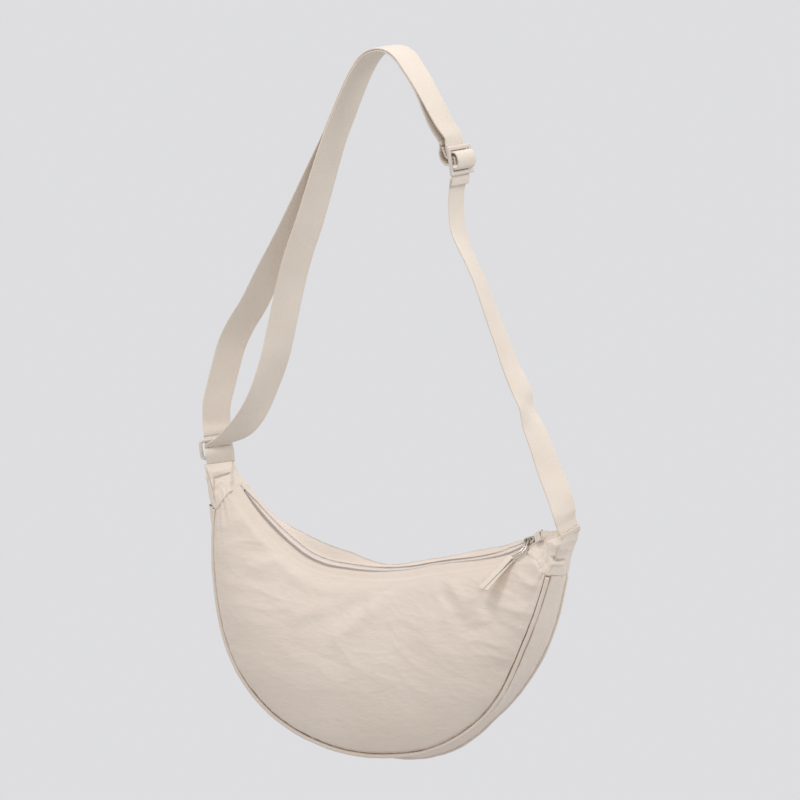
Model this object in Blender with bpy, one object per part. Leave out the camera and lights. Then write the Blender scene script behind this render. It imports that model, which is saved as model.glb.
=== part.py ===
"""Dumpling shoulder bag hanging by its strap. Metres, +Z up.

The origin is the hang point, under the top of the strap. +X runs along the bag to its zipped end,
-Y faces the viewer of the front panel. The bag itself is built in its own frame, whose origin is
midway between the two upper seam corners, and an empty tilts it as it hangs.
"""

import math

import bmesh
import bpy
from mathutils import Matrix, Vector

# Placement of the bag under the hang point
BAG_CENTRE = Vector((-0.001, 0.0, -0.418))
BAG_TILT = math.radians(9.5)

# Bag body: the outline of the front and back panels and the strip between them
HALF_WIDTH = 0.1565
DROP = 0.185
OUTLINE_POWER = 2.3
GUSSET_HALF_LOW = 0.028
GUSSET_HALF_END = 0.0215
GUSSET_CROWN = 0.003
FRONT_BELLY = 0.012
BACK_BELLY = 0.009
CLOTH = 0.001
SEAM_RADIUS = 0.0014
GAP = 0.0003
SEAM_CLEAR = SEAM_RADIUS + 2 * GAP

# Zip: an arc round a centre above the mouth, on a band that faces up and forward
ZIP_CENTRE = Vector((-0.0085, -0.006, 0.1903))
ZIP_RADIUS = 0.216
ZIP_LEFT_END = math.radians(-39.3)
ZIP_RIGHT_END = math.radians(43.2)
BAND_SLOPE = math.radians(45.0)
SHELF_OUT = 0.0125
TAPE_SHOWN = 0.0053
TAPE_UNDER = 0.0050
TAPE_THICK = 0.0006
TOOTH_PITCH = 0.005
TOOTH_LONG = 0.0021
TOOTH_REACH = 0.0012
TOOTH_ROOT = 0.0016
TOOTH_RAIL = 0.0018
TOOTH_THICK = 0.0018
SLIDER_REST = math.radians(39.6)
ZIP_LEFT_STOP = math.radians(-38.3)
ZIP_RIGHT_STOP = math.radians(42.2)

# Zip slider and its pull
SLIDER_LONG = 0.0115
SLIDER_HALF = 0.0046
SLIDER_PLATE = 0.0014
SLIDER_NOSE = 0.0030
POST_HALF = 0.0009
BRIDGE_LONG = 0.0058
BRIDGE_HIGH = 0.0034
BRIDGE_WIDE = 0.0018
BRIDGE_HOLE = (0.0042, 0.0022)
PULL_WIRE = 0.0006
PULL_SKEW = math.radians(38.0)
PULL_LIFT = math.radians(6.5)
PULL_RING_LONG = 0.022
PULL_RING_TOP = 0.0036
PULL_RING_LOW = 0.0051
PULL_TAB_LONG = 0.034
PULL_TAB_WIDE = 0.0080
PULL_TAB_THICK = 0.0009

# Lining and the slip pocket sewn to it
LINING_INSET = 0.0032
LINING_THICK = 0.0006
POCKET_SPAN = 0.42
POCKET_LOW = 0.22
POCKET_HIGH = 0.66

# Webbing strap
STRAP_WIDE = 0.025
STRAP_THICK = 0.0015
STRAP_STEP = 0.0075
HANG_FLAT = 0.008
INNER_SKEW = 0.125
SKEW_FADE = 0.045

# Rectangular ring at the left end
RING_WIRE = 0.0016
RING_INNER = (0.0288, 0.0122)
RING_CORNER = 0.0026
RING_CENTRE = Vector((-0.1653, 0.0, -0.3392))
RING_HEADING = math.radians(72.0)
RING_LIFT = math.radians(8.0)
RING_LOOP_LEG = 0.0050
RING_WRAP_SLACK = 0.0027

# Three-bar adjuster on the right leg of the strap
ADJUSTER_CENTRE = Vector((0.0655, 0.0, -0.092))
ADJUSTER_UP = Vector((-0.05, 0.0, 1.0))
ADJUSTER_HEADING = math.radians(14.0)
ADJUSTER_LIFT = math.radians(10.0)
ADJUSTER_SIZE = (0.0330, 0.0250, 0.0026)
ADJUSTER_BAR = 0.0036
ADJUSTER_TRAVEL = 0.010
SLOT_WIDE = STRAP_WIDE + 0.0026
FOOT_UP = 0.013
FOOT_DOWN = 0.0085

# Fabric tabs that carry the strap, one at each end of the bag
RIGHT_CAP_TOP = Vector((0.1612, 0.0, 0.0385))
CAP_HEADING = {-1: RING_HEADING, 1: math.radians(22.0)}
CAP_LIFT = {-1: RING_LIFT, 1: math.radians(18.0)}
RIGHT_CAP_UP = Vector((-0.20, 0.0, 0.98))
CAP_TOP_HALF = 0.0138
CAP_TOP_THICK = 0.0030
CAP_CLEAR = 0.0006

# Colours: red, green, blue, roughness, metallic
CREAM_CLOTH = (0.78, 0.72, 0.65, 0.85, 0.0)
CREAM_WEBBING = (0.80, 0.74, 0.68, 0.80, 0.0)
CREAM_TAPE = (0.72, 0.66, 0.59, 0.80, 0.0)
LINING_CLOTH = (0.62, 0.57, 0.51, 0.85, 0.0)
CREAM_PLASTIC = (0.83, 0.79, 0.73, 0.45, 0.0)
DARK_METAL = (0.20, 0.19, 0.18, 0.35, 1.0)
TOOTH_PLASTIC = (0.70, 0.65, 0.58, 0.50, 0.0)


def clear_scene():
    for obj in list(bpy.data.objects):
        bpy.data.objects.remove(obj, do_unlink=True)


def material(name, look):
    made = bpy.data.materials.new(name)
    made.use_nodes = True
    shader = made.node_tree.nodes["Principled BSDF"]
    shader.inputs["Base Color"].default_value = (*look[:3], 1.0)
    shader.inputs["Roughness"].default_value = look[3]
    shader.inputs["Metallic"].default_value = look[4]
    return made


def add_mesh(name, points, faces, look, parent=None, smooth=True):
    mesh = bpy.data.meshes.new(name)
    mesh.from_pydata([tuple(p) for p in points], [], faces)
    mesh.update()
    form = bmesh.new()
    form.from_mesh(mesh)
    bmesh.ops.recalc_face_normals(form, faces=form.faces)
    form.to_mesh(mesh)
    form.free()
    if smooth:
        mesh.shade_smooth()
        mesh.set_sharp_from_angle(angle=math.radians(40.0))
    mesh.materials.append(material(name, look))
    obj = bpy.data.objects.new(name, mesh)
    bpy.context.collection.objects.link(obj)
    obj.parent = parent
    return obj


def grid_faces(rows, columns):
    faces = []
    for row in range(rows - 1):
        for column in range(columns - 1):
            low = row * columns + column
            faces.append((low, low + 1, low + columns + 1, low + columns))
    return faces


def add_sheet(name, rows, outward, thick, look, parent):
    """A cloth sheet through rows of points, thickened away from its outward side."""
    points = [p for row in rows for p in row]
    obj = add_mesh(name, points, grid_faces(len(rows), len(rows[0])), look, parent)
    mesh = obj.data
    middle = mesh.polygons[len(mesh.polygons) // 2]
    if middle.normal.dot(outward) < 0:
        mesh.flip_normals()
    solid = obj.modifiers.new("cloth", "SOLIDIFY")
    solid.thickness = thick
    solid.offset = -1.0
    return obj


def smooth_path(points, step):
    """Points about one step apart on a Catmull-Rom curve through the given ones."""
    ends = [2 * points[0] - points[1], *points, 2 * points[-1] - points[-2]]
    fine = []
    for a, b, c, d in zip(ends, ends[1:], ends[2:], ends[3:]):
        pieces = max(1, round((c - b).length / step))
        for piece in range(pieces):
            t = piece / pieces
            fine.append(0.5 * (2 * b + (c - a) * t + (2 * a - 5 * b + 4 * c - d) * t * t
                               + (3 * b - a - 3 * c + d) * t * t * t))
    fine.append(points[-1])
    return fine


def width_direction(heading, lift):
    """The way a band's width points: heading turns from +Y towards +X, lift raises it."""
    flat = Vector((math.sin(heading), math.cos(heading), 0.0)) * math.cos(lift)
    return flat + Vector((0.0, 0.0, math.sin(lift)))


def sections(points, widths, skew=0.0):
    """At each point of a band: the point, the way its width points and the way its face points.

    The sections are square to the route, but over the first length skew they keep their width's
    direction, as webbing does where it is drawn sideways.
    """
    last = len(points) - 1
    made = []
    run = 0.0
    for i, (point, across) in enumerate(zip(points, widths)):
        run += (point - points[max(i - 1, 0)]).length
        along = (points[min(i + 1, last)] - points[max(i - 1, 0)]).normalized()
        square = (across - across.dot(along) * along).normalized()
        share = min(1.0, max(0.0, (skew - run) / SKEW_FADE))
        side = square.lerp(across.normalized(), share).normalized()
        made.append((point, side, along.cross(side).normalized()))
    return made


def shift_sections(band, away):
    """The same band moved along its own face."""
    return [(point + up * away, side, up) for point, side, up in band]


def add_band(name, band, wide, thick, look, parent=None):
    """A flat band of webbing through its sections."""
    corners = []
    for point, side, up in band:
        for a, b in ((-1, -1), (1, -1), (1, 1), (-1, 1)):
            corners.append(point + side * (a * wide / 2) + up * (b * thick / 2))
    faces = [(3, 2, 1, 0)]
    for low in range(0, 4 * (len(band) - 1), 4):
        # Both wide faces turn on the same diagonal, so layers that lie together stay apart
        faces += [(low, low + 1, low + 5), (low, low + 5, low + 4), (low + 2, low + 3, low + 6),
                  (low + 3, low + 7, low + 6), (low + 1, low + 2, low + 6, low + 5),
                  (low + 3, low, low + 4, low + 7)]
    top = 4 * (len(band) - 1)
    faces.append((top, top + 1, top + 2, top + 3))
    return add_mesh(name, corners, faces, look, parent, smooth=False)


def add_tube(name, points, radius, look, parent=None, closed=False, sides=1):
    curve = bpy.data.curves.new(name, "CURVE")
    curve.dimensions = "3D"
    curve.bevel_depth = radius
    curve.bevel_resolution = sides
    curve.use_fill_caps = not closed
    spline = curve.splines.new("POLY")
    spline.points.add(len(points) - 1)
    for knot, point in zip(spline.points, points):
        knot.co = (*point, 1.0)
    spline.use_cyclic_u = closed
    curve.materials.append(material(name, look))
    obj = bpy.data.objects.new(name, curve)
    bpy.context.collection.objects.link(obj)
    obj.parent = parent
    return obj


def add_box(name, low, high, look, parent=None):
    made = bmesh.new()
    bmesh.ops.create_cube(made, size=1.0)
    size = Vector(high) - Vector(low)
    centre = (Vector(high) + Vector(low)) / 2
    bmesh.ops.transform(made, matrix=Matrix.Translation(centre) @ Matrix.Diagonal((*size, 1.0)),
                        verts=made.verts)
    mesh = bpy.data.meshes.new(name)
    made.to_mesh(mesh)
    made.free()
    mesh.materials.append(material(name, look))
    obj = bpy.data.objects.new(name, mesh)
    bpy.context.collection.objects.link(obj)
    obj.parent = parent
    return obj


def boolean(obj, cutter, operation):
    cutter.hide_render = True
    cutter.display_type = "WIRE"
    change = obj.modifiers.new(operation.lower() + "_" + cutter.name, "BOOLEAN")
    change.operation = operation
    change.object = cutter
    change.solver = "EXACT"


def bevel(obj, width, segments=1):
    rounding = obj.modifiers.new("edges", "BEVEL")
    rounding.width = width
    rounding.segments = segments
    rounding.limit_method = "ANGLE"


def spread(count):
    """count values from -1 to 1."""
    return [-1.0 + 2.0 * i / (count - 1) for i in range(count)]


# Zip geometry

TAPE_TOP = -(CLOTH + GAP)
TOOTH_TOP = TAPE_TOP - TAPE_THICK - GAP
TOOTH_LOW = TOOTH_TOP - TOOTH_THICK
TAPE_HALF = TAPE_SHOWN + TAPE_UNDER


def zip_angle(u):
    """The angle along the zip for a share of it from the left end (-1) to the right end (1)."""
    return (ZIP_LEFT_END + ZIP_RIGHT_END) / 2 + u * (ZIP_RIGHT_END - ZIP_LEFT_END) / 2


def zip_axes(angle):
    """At an angle along the zip: along it, across it towards the back, and out of its band."""
    outward = Vector((math.sin(angle), 0.0, -math.cos(angle)))
    along = Vector((math.cos(angle), 0.0, math.sin(angle)))
    back = Vector((0.0, 1.0, 0.0))
    across = back * math.cos(BAND_SLOPE) - outward * math.sin(BAND_SLOPE)
    normal = -back * math.sin(BAND_SLOPE) - outward * math.cos(BAND_SLOPE)
    return outward, along, across, normal


def zip_point(angle, across, above):
    outward, _, cross, normal = zip_axes(angle)
    return ZIP_CENTRE + outward * ZIP_RADIUS + cross * across + normal * above


def zip_frame(angle, above):
    """A matrix whose X runs along the zip, Y across it and Z out of its band."""
    _, along, cross, normal = zip_axes(angle)
    place = zip_point(angle, 0.0, above)
    return Matrix.Translation(place) @ Matrix((along, cross, normal)).transposed().to_4x4()


# Bag outline

def outline(u, inset=0.0):
    """The seam line from the left corner (u = -1) under the bag to the right corner (u = 1)."""
    angle = u * math.pi / 2
    across = (HALF_WIDTH - inset) * math.sin(angle)
    down = (DROP - inset) * max(0.0, math.cos(angle)) ** (2 / OUTLINE_POWER)
    return Vector((across, 0.0, -down))


def outline_normal(u):
    ahead = outline(min(1.0, u + 0.01)) - outline(max(-1.0, u - 0.01))
    return Vector((-ahead.z, 0.0, ahead.x)).normalized() * -1.0


def gusset_half(u):
    return GUSSET_HALF_LOW + (GUSSET_HALF_END - GUSSET_HALF_LOW) * abs(u) ** 2.5


def belly(height, side):
    """How far a panel swells at a share of its height between seam and zip."""
    most = FRONT_BELLY if side < 0 else BACK_BELLY
    return most * math.sin(math.pi * height ** 0.8) ** 0.9 if 0.0 < height < 1.0 else 0.0


def panel_point(u, height, side, inset=0.0, clear=SEAM_CLEAR, top_across=SHELF_OUT, top_above=0.0):
    """A point of a panel between the seam (height 0) and the outer edge of the zip band (height 1)."""
    low = outline(u, inset)
    top = zip_point(zip_angle(u), side * top_across, top_above)
    start = low - outline_normal(u) * clear
    place = start.lerp(Vector((top.x, 0.0, top.z)), height)
    seam_y = side * (gusset_half(u) - inset)
    depth = top.y + (seam_y - top.y) * (1.0 - height ** 2.2)
    place.y = depth + side * belly(height, side) * (1.0 - abs(u) ** 3)
    return place


PANEL_HEIGHTS = (0.0, 0.05, 0.12, 0.22, 0.34, 0.47, 0.6, 0.72, 0.83, 0.92, 1.0)
SHELF_STEPS = (0.0105, 0.0080, TAPE_SHOWN)


def add_panel(name, side, frame):
    columns = spread(25)
    rows = [[panel_point(u, height, side) for u in columns] for height in PANEL_HEIGHTS]
    for across in SHELF_STEPS:
        rows.append([zip_point(zip_angle(u), side * across, 0.0) for u in columns])
    return add_sheet(name, rows, Vector((0, side, 0)), CLOTH, CREAM_CLOTH, frame)


def add_gusset(name, inset, clear, thick, look, frame):
    rows = []
    for across in spread(5):
        row = []
        for u in spread(33):
            half = gusset_half(u) - clear - inset
            crown = (GUSSET_CROWN * (1.0 - across ** 2)) * (1.0 - abs(u) ** 4)
            point = outline(u, inset) + outline_normal(u) * crown
            point.y = across * half
            row.append(point)
        rows.append(row)
    return add_sheet(name, rows, Vector((0, 0, -1)), thick, look, frame)


def add_seam(name, side, frame):
    points = []
    for u in spread(37):
        point = outline(0.985 * u)
        point.y = side * gusset_half(0.985 * u)
        points.append(point)
    return add_tube(name, points, SEAM_RADIUS, CREAM_CLOTH, frame)


def lining_point(u, height, side):
    return panel_point(u, height, side, LINING_INSET, LINING_THICK + 2 * GAP, 0.0092, TOOTH_TOP - GAP)


def add_lining_panel(name, side, frame):
    heights = (0.0, 0.1, 0.25, 0.45, 0.65, 0.82, 0.93, 1.0)
    rows = [[lining_point(u * 0.97, height, side) for u in spread(17)] for height in heights]
    return add_sheet(name, rows, Vector((0, side, 0)), LINING_THICK, LINING_CLOTH, frame)


def add_pocket(frame):
    """A slip pocket that lies on the inner side of the back lining."""
    inward = Vector((0, LINING_THICK + 3 * GAP, 0))
    rows = []
    for share in spread(6):
        height = POCKET_LOW + (POCKET_HIGH - POCKET_LOW) * (share + 1) / 2
        rows.append([lining_point(u * POCKET_SPAN, height, 1) - inward for u in spread(8)])
    return add_sheet("slip_pocket", rows, Vector((0, 1, 0)), LINING_THICK, LINING_CLOTH, frame)


# Zip parts

def tape_inner_edge(angle):
    """The tapes meet along the zip and part round the slider's post at the closed end."""
    split = SLIDER_REST + 0.001 / ZIP_RADIUS
    share = min(1.0, max(0.0, (angle - split) * ZIP_RADIUS / 0.003))
    return GAP + share * (POST_HALF + GAP)


def add_tape(name, side, frame):
    angles = [zip_angle(0.995 * u) for u in spread(45)]
    angles += [SLIDER_REST + share * 0.001 / ZIP_RADIUS for share in (1.0, 4.0)]
    angles.sort()
    rows = []
    for share in (0.0, 0.5, 1.0):
        rows.append([zip_point(a, side * (tape_inner_edge(a) * (1 - share) + TAPE_HALF * share),
                               TAPE_TOP) for a in angles])
    return add_sheet(name, rows, Vector((0, -1, 1)), TAPE_THICK, CREAM_TAPE, frame)


def add_teeth(name, side, frame):
    """One row of teeth on its rail, which reach past the middle between those of the other row."""
    first = ZIP_LEFT_STOP + 0.004 / ZIP_RADIUS
    last = SLIDER_REST - 0.0005 / ZIP_RADIUS
    count = int((last - first) * ZIP_RADIUS / TOOTH_PITCH)
    begin = first + (0.0 if side < 0 else TOOTH_PITCH / 2 / ZIP_RADIUS)
    points, faces = [], []

    def station(angle):
        start = len(points)
        for across in (-TOOTH_REACH, TOOTH_ROOT, TOOTH_ROOT + TOOTH_RAIL):
            points.append(zip_point(angle, side * across, TOOTH_TOP))
        return start

    marks = []
    for tooth in range(count):
        start = begin + tooth * TOOTH_PITCH / ZIP_RADIUS
        marks.append((station(start), station(start + TOOTH_LONG / ZIP_RADIUS)))
    for number, (a, b) in enumerate(marks):
        faces.append((a, b, b + 1, a + 1))
        faces.append((a + 1, b + 1, b + 2, a + 2))
        if number + 1 < len(marks):
            after = marks[number + 1][0]
            faces.append((b + 1, after + 1, after + 2, b + 2))
    obj = add_mesh(name, points, faces, TOOTH_PLASTIC, frame, smooth=False)
    if obj.data.polygons[0].normal.dot(zip_axes(first)[3]) < 0:
        obj.data.flip_normals()
    solid = obj.modifiers.new("teeth", "SOLIDIFY")
    solid.thickness = TOOTH_THICK
    solid.offset = -1.0
    return obj


def add_stop(name, angle, frame):
    obj = add_box(name, (-0.0016, -0.0034, TAPE_TOP + GAP), (0.0016, 0.0034, -TAPE_TOP), CREAM_TAPE,
                  frame)
    obj.matrix_local = zip_frame(angle, 0.0)
    bevel(obj, 0.0004)
    return obj


def slider_plate(name, low, high, frame):
    """A plate that narrows from its nose to its tail."""
    shape = ((-SLIDER_LONG / 2, -0.75 * SLIDER_HALF), (-0.1 * SLIDER_LONG, -SLIDER_HALF),
             (SLIDER_LONG / 2 - SLIDER_NOSE, -SLIDER_HALF), (SLIDER_LONG / 2, -0.45 * SLIDER_HALF))
    ring = [*shape, *[(x, -y) for x, y in reversed(shape)]]
    points = [(x, y, low) for x, y in ring] + [(x, y, high) for x, y in ring]
    count = len(ring)
    faces = [tuple(reversed(range(count))), tuple(range(count, 2 * count))]
    for i in range(count):
        j = (i + 1) % count
        faces.append((i, j, count + j, count + i))
    return add_mesh(name, points, faces, DARK_METAL, frame, smooth=False)


def add_slider(frame):
    """Two plates on a post, with a bridge over the top for the pull."""
    top = TAPE_TOP + GAP + SLIDER_PLATE
    bottom = TOOTH_LOW - GAP
    obj = slider_plate("zip_slider", TAPE_TOP + GAP, top, frame)
    lower = slider_plate("slider_lower_plate", bottom - SLIDER_PLATE, bottom, frame)
    nose = SLIDER_LONG / 2
    post = add_box("slider_post", (nose - SLIDER_NOSE, -POST_HALF, bottom - 0.0005),
                   (nose - 0.0004, POST_HALF, TAPE_TOP + GAP + 0.0005), DARK_METAL, frame)
    bridge = add_box("slider_bridge", (-BRIDGE_LONG / 2, -BRIDGE_WIDE / 2, top - 0.0005),
                     (BRIDGE_LONG / 2, BRIDGE_WIDE / 2, top + BRIDGE_HIGH), DARK_METAL, frame)
    hole = add_box("slider_bridge_hole", (-BRIDGE_HOLE[0] / 2, -BRIDGE_WIDE, top),
                   (BRIDGE_HOLE[0] / 2, BRIDGE_WIDE, top + BRIDGE_HOLE[1]), DARK_METAL, frame)
    bevel(bridge, 0.0007)
    boolean(bridge, hole, "DIFFERENCE")
    for piece in (obj, lower, post, bridge, hole):
        piece.matrix_local = zip_frame(SLIDER_REST, 0.0)
    boolean(obj, lower, "UNION")
    boolean(obj, post, "UNION")
    boolean(obj, bridge, "UNION")
    return obj


def pull_frame():
    """X across the pull, Y down its length and Z out of the band, at the hole of the bridge."""
    top = TAPE_TOP + GAP + SLIDER_PLATE
    _, along, cross, normal = zip_axes(SLIDER_REST)
    flat = -along * math.cos(PULL_SKEW) - cross * math.sin(PULL_SKEW)
    across = flat.cross(normal)
    down = flat * math.cos(PULL_LIFT) + normal * math.sin(PULL_LIFT)
    normal = across.cross(down)
    place = zip_point(SLIDER_REST, 0.0, top + BRIDGE_HOLE[1] / 2)
    return Matrix.Translation(place) @ Matrix((across, down, normal)).transposed().to_4x4()


def add_pull_ring(frame):
    """A long wire loop with round corners, through the bridge and the tab."""
    points = []
    for x_side, y_side, start in ((1, 0, 270), (1, 1, 0), (-1, 1, 90), (-1, 0, 180)):
        half, corner = ((PULL_RING_TOP, 0.0018), (PULL_RING_LOW, 0.0009))[y_side]
        centre_x = x_side * (half - corner)
        centre_y = PULL_RING_LONG - corner if y_side else corner
        for turn in range(4):
            angle = math.radians(start + turn * 30)
            points.append(Vector((centre_x + corner * math.cos(angle),
                                  centre_y + corner * math.sin(angle), 0.0)))
    obj = add_tube("zip_pull_ring", points, PULL_WIRE, DARK_METAL, frame, closed=True, sides=1)
    obj.matrix_local = pull_frame()
    return obj


def add_pull_tab(frame):
    """A strip folded over the lower end of the ring, with two leaves that spread a little."""
    bend = PULL_WIRE + GAP + PULL_TAB_THICK / 2
    points = [Vector((0.0, PULL_TAB_LONG, bend + 0.0008)), Vector((0.0, PULL_TAB_LONG / 2, bend + 0.0003))]
    for turn in range(7):
        angle = math.radians(90 + turn * 30)
        points.append(Vector((0.0, bend * math.cos(angle), bend * math.sin(angle))))
    points.append(Vector((0.0, PULL_TAB_LONG / 2, -bend - 0.0001)))
    points.append(Vector((0.0, PULL_TAB_LONG * 0.96, -bend)))
    band = sections(points, [Vector((1.0, 0.0, 0.0))] * len(points))
    obj = add_band("zip_pull_tab", band, PULL_TAB_WIDE, PULL_TAB_THICK, CREAM_WEBBING, frame)
    obj.matrix_local = pull_frame() @ Matrix.Translation((0.0, PULL_RING_LONG, 0.0))
    return obj


# Fabric tabs at the two ends

def cap_base(side):
    """The rim round the open end of the body, a little outside its edges."""
    angle = zip_angle(side)
    corner = outline(side)
    out = Vector((side * 0.83, 0.0, 0.56)) * CAP_CLEAR
    front_top = zip_point(angle, -SHELF_OUT, 0.0) + out
    back_top = zip_point(angle, SHELF_OUT, 0.0) + out
    half = gusset_half(side)
    low_front = corner + Vector((0, -half, 0)) + out
    low_back = corner + Vector((0, half, 0)) + out
    middle_low = corner + out
    return [low_front, low_front.lerp(front_top, 0.5), front_top, front_top.lerp(back_top, 0.5),
            back_top, back_top.lerp(low_back, 0.5), low_back, middle_low]


def cap_width(side, bag_turn):
    """The strap's width direction at a cap, in the bag's frame."""
    return bag_turn.inverted() @ width_direction(CAP_HEADING[side], CAP_LIFT[side])


def cap_up(side, bag_turn):
    across = cap_width(side, bag_turn)
    up = bag_turn.inverted() @ (ring_axes()[1] if side < 0 else RIGHT_CAP_UP)
    return (up - up.dot(across) * across).normalized()


def cap_top(side, bag_place):
    """The left tab ends just under the ring's loop, the right one under the strap."""
    if side > 0:
        return RIGHT_CAP_TOP
    _, up, _ = ring_axes()
    return bag_place.inverted() @ (RING_CENTRE - up * (RING_HALF_HIGH + RING_LOOP_LEG + 2 * GAP))


def cap_tip_axes(side, across, up):
    """Half the width and half the thickness of the tip: the one to the front, the one inwards."""
    if side > 0:
        return -across * CAP_TOP_HALF, up.cross(across) * CAP_TOP_THICK
    return across.cross(up) * -CAP_TOP_THICK, across * CAP_TOP_HALF


def add_cap(name, side, frame, bag_turn, bag_place):
    across = cap_width(side, bag_turn)
    up = cap_up(side, bag_turn)
    top = cap_top(side, bag_place)
    # The rim's points run front, zip, back, low, and so do the tip's
    front, inner = cap_tip_axes(side, across, up)
    tip = [front * a + inner * b for a, b in (
        (0.9, -0.9), (1.0, 0.0), (0.9, 0.9), (0.0, 1.0), (-0.9, 0.9), (-1.0, 0.0), (-0.9, -0.9),
        (0.0, -1.0))]
    base = cap_base(side)
    rings = []
    for share, pinch in ((0.0, 1.0), (0.35, 0.93), (0.7, 0.97), (1.0, 1.0)):
        ring = []
        for low, high in zip(base, tip):
            point = low.lerp(top + high, share)
            axis = (sum(base, Vector()) / len(base)).lerp(top, share)
            ring.append(axis + (point - axis) * pinch)
        rings.append(ring)
    count = len(base)
    points = [p for ring in rings for p in ring]
    faces = []
    for level in range(len(rings) - 1):
        for i in range(count):
            j = (i + 1) % count
            faces.append((level * count + i, level * count + j, (level + 1) * count + j,
                          (level + 1) * count + i))
    top_start = (len(rings) - 1) * count
    faces.append(tuple(range(top_start, top_start + count)))
    middle = len(points)
    points.append(sum(base, Vector()) / count)
    for i in range(count):
        faces.append((i, middle, (i + 1) % count))
    return add_mesh(name, points, faces, CREAM_CLOTH, frame)


# Strap

def strap_left_inner():
    """The strand on the viewer's side, from the ring upwards: place in mm, heading and lift."""
    return [((-153.5, -3.5, -324.8), 70, 4), ((-141.2, -5.5, -317.7), 66, -3),
            ((-131.8, -7.0, -309.2), 60, -3), ((-124.6, -8.0, -300.2), 54, -2),
            ((-117.7, -8.0, -289.0), 50, 0), ((-110.8, -8.0, -272.0), 52, 0),
            ((-104.4, -8.0, -252.0), 60, 0), ((-99.4, -7.0, -229.0), 63, 0),
            ((-93.8, -6.0, -203.0), 59, 0), ((-86.1, -4.5, -172.5), 54, 0),
            ((-75.7, -2.0, -141.0), 48, 0), ((-66.4, 1.5, -107.5), 41, 0)]


def strap_left_outer():
    """The strand behind it, from the ring upwards."""
    return [((-170.0, 4.5, -317.0), 72, 2), ((-170.3, 5.5, -300.0), 70, 0),
            ((-167.1, 7.5, -284.0), 68, 0), ((-162.6, 9.0, -265.0), 64, 0),
            ((-157.4, 10.0, -247.0), 60, 0), ((-148.3, 10.0, -230.0), 57, 0),
            ((-135.2, 9.5, -211.0), 54, 0), ((-117.7, 8.0, -180.5), 50, 0),
            ((-98.9, 5.5, -150.0), 45, 0), ((-83.4, 5.5, -121.0), 42, 0),
            ((-71.6, 6.5, -97.0), 38, 0)]


def strap_over():
    """The stretch from the left leg to the top that both strands share."""
    return [((-56.5, 5.5, -72.0), 33, 0), ((-46.4, 8.0, -45.5), 30, 0), ((-37.1, 8.8, -24.5), 28, 0),
            ((-24.0, 7.6, -6.8), 27, 0)]


def strap_right_side():
    """The stretch from the top to the adjuster that both strands share."""
    return [((21.5, -7.2, -6.8), 27, 0), ((32.0, -8.8, -23.0), 26, 0), ((43.0, -8.0, -42.5), 24, 2),
            ((52.0, -5.5, -58.5), 19, 5)]


def strap_below_adjuster():
    """The single strand from under the adjuster to the right end of the bag."""
    return [((62.4, 4.5, -144.0), 9, 3), ((65.8, 2.0, -160.0), 9, 1), ((73.5, 0.5, -178.0), 10, 0),
            ((81.0, 0.0, -195.9), 11, 0), ((89.1, 0.0, -215.4), 12, 0), ((96.4, 0.0, -233.9), 14, 0),
            ((103.2, 0.0, -250.0), 16, 0), ((110.6, 0.0, -267.5), 18, 0), ((118.0, 0.0, -284.0), 20, 0),
            ((124.5, 0.0, -300.0), 23, 0), ((131.2, 0.0, -317.0), 27, 0), ((139.5, 0.0, -337.0), 32, 0),
            ((147.6, -1.0, -357.6), 36, 4), ((156.5, -3.0, -377.0), 36, 9),
            ((161.7, -4.0, -393.5), 28, 14)]


def stations(entries):
    """Route entries in millimetres and degrees as points and width directions in metres."""
    points = [Vector(place) / 1000 for place, _, _ in entries]
    widths = [width_direction(math.radians(heading), math.radians(lift)) for _, heading, lift in entries]
    return points, widths


def sweep(points, widths, step=STRAP_STEP):
    """The smooth route through the points, with the width directions carried along it."""
    path = smooth_path(points, step)
    sides = smooth_path(widths, 1e9)
    counts = [max(1, round((b - a).length / step)) for a, b in zip(points, points[1:])]
    carried = []
    for number, count in enumerate(counts):
        for piece in range(count):
            carried.append(sides[number].lerp(sides[number + 1], piece / count))
    carried.append(sides[-1])
    return path, carried


def hang_stations():
    """The level stretch at the top, whose underside rests on a hook or peg at the origin."""
    across = width_direction(math.radians(27), 0.0)
    along = Vector((across.y, -across.x, 0.0))
    middle = Vector((0.0, 0.0, STRAP_THICK / 2))
    places = [middle + along * (HANG_FLAT * share) for share in (-1.0, -0.6, 0.6, 1.0)]
    return places, [across] * 4


def adjuster_axes():
    across = width_direction(ADJUSTER_HEADING, ADJUSTER_LIFT)
    up = (ADJUSTER_UP - ADJUSTER_UP.dot(across) * across).normalized()
    out = across.cross(up)
    return across, up, out


LAYER = STRAP_THICK + GAP
LEVEL_FOOT = -(ADJUSTER_SIZE[2] / 2 + GAP + STRAP_THICK / 2)
LEVEL_STRAND = LEVEL_FOOT - LAYER
LEVEL_LEG = LEVEL_STRAND - LAYER
LEVEL_FOLD = LEVEL_LEG - LAYER
LEVEL_LOOP = ADJUSTER_SIZE[2] / 2 + GAP + STRAP_THICK / 2
LEVEL_HUMP = LEVEL_LOOP + LAYER


def adjuster_place(along, out):
    _, up, normal = adjuster_axes()
    return ADJUSTER_CENTRE + up * along + normal * out


def ring_axes():
    across = width_direction(RING_HEADING, RING_LIFT)
    up = (Vector((0, 0, 1)) - across.z * across).normalized()
    back = across.cross(up)
    if back.y < 0:
        back = -back
    return across, up, back


RING_HALF_HIGH = RING_INNER[1] / 2 + RING_WIRE


RING_BEND = RING_WIRE + GAP + STRAP_THICK / 2


def ring_wrap():
    """Points under the upper bar of the ring, from behind it to its front, a little slack."""
    _, up, back = ring_axes()
    centre = RING_CENTRE + up * RING_HALF_HIGH
    drop = RING_BEND + RING_WRAP_SLACK
    points = []
    for turn in range(7):
        angle = math.radians(turn * 22.5)
        points.append(centre + back * (RING_BEND * math.cos(angle)) - up * (drop * math.sin(angle)))
    return points


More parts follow.
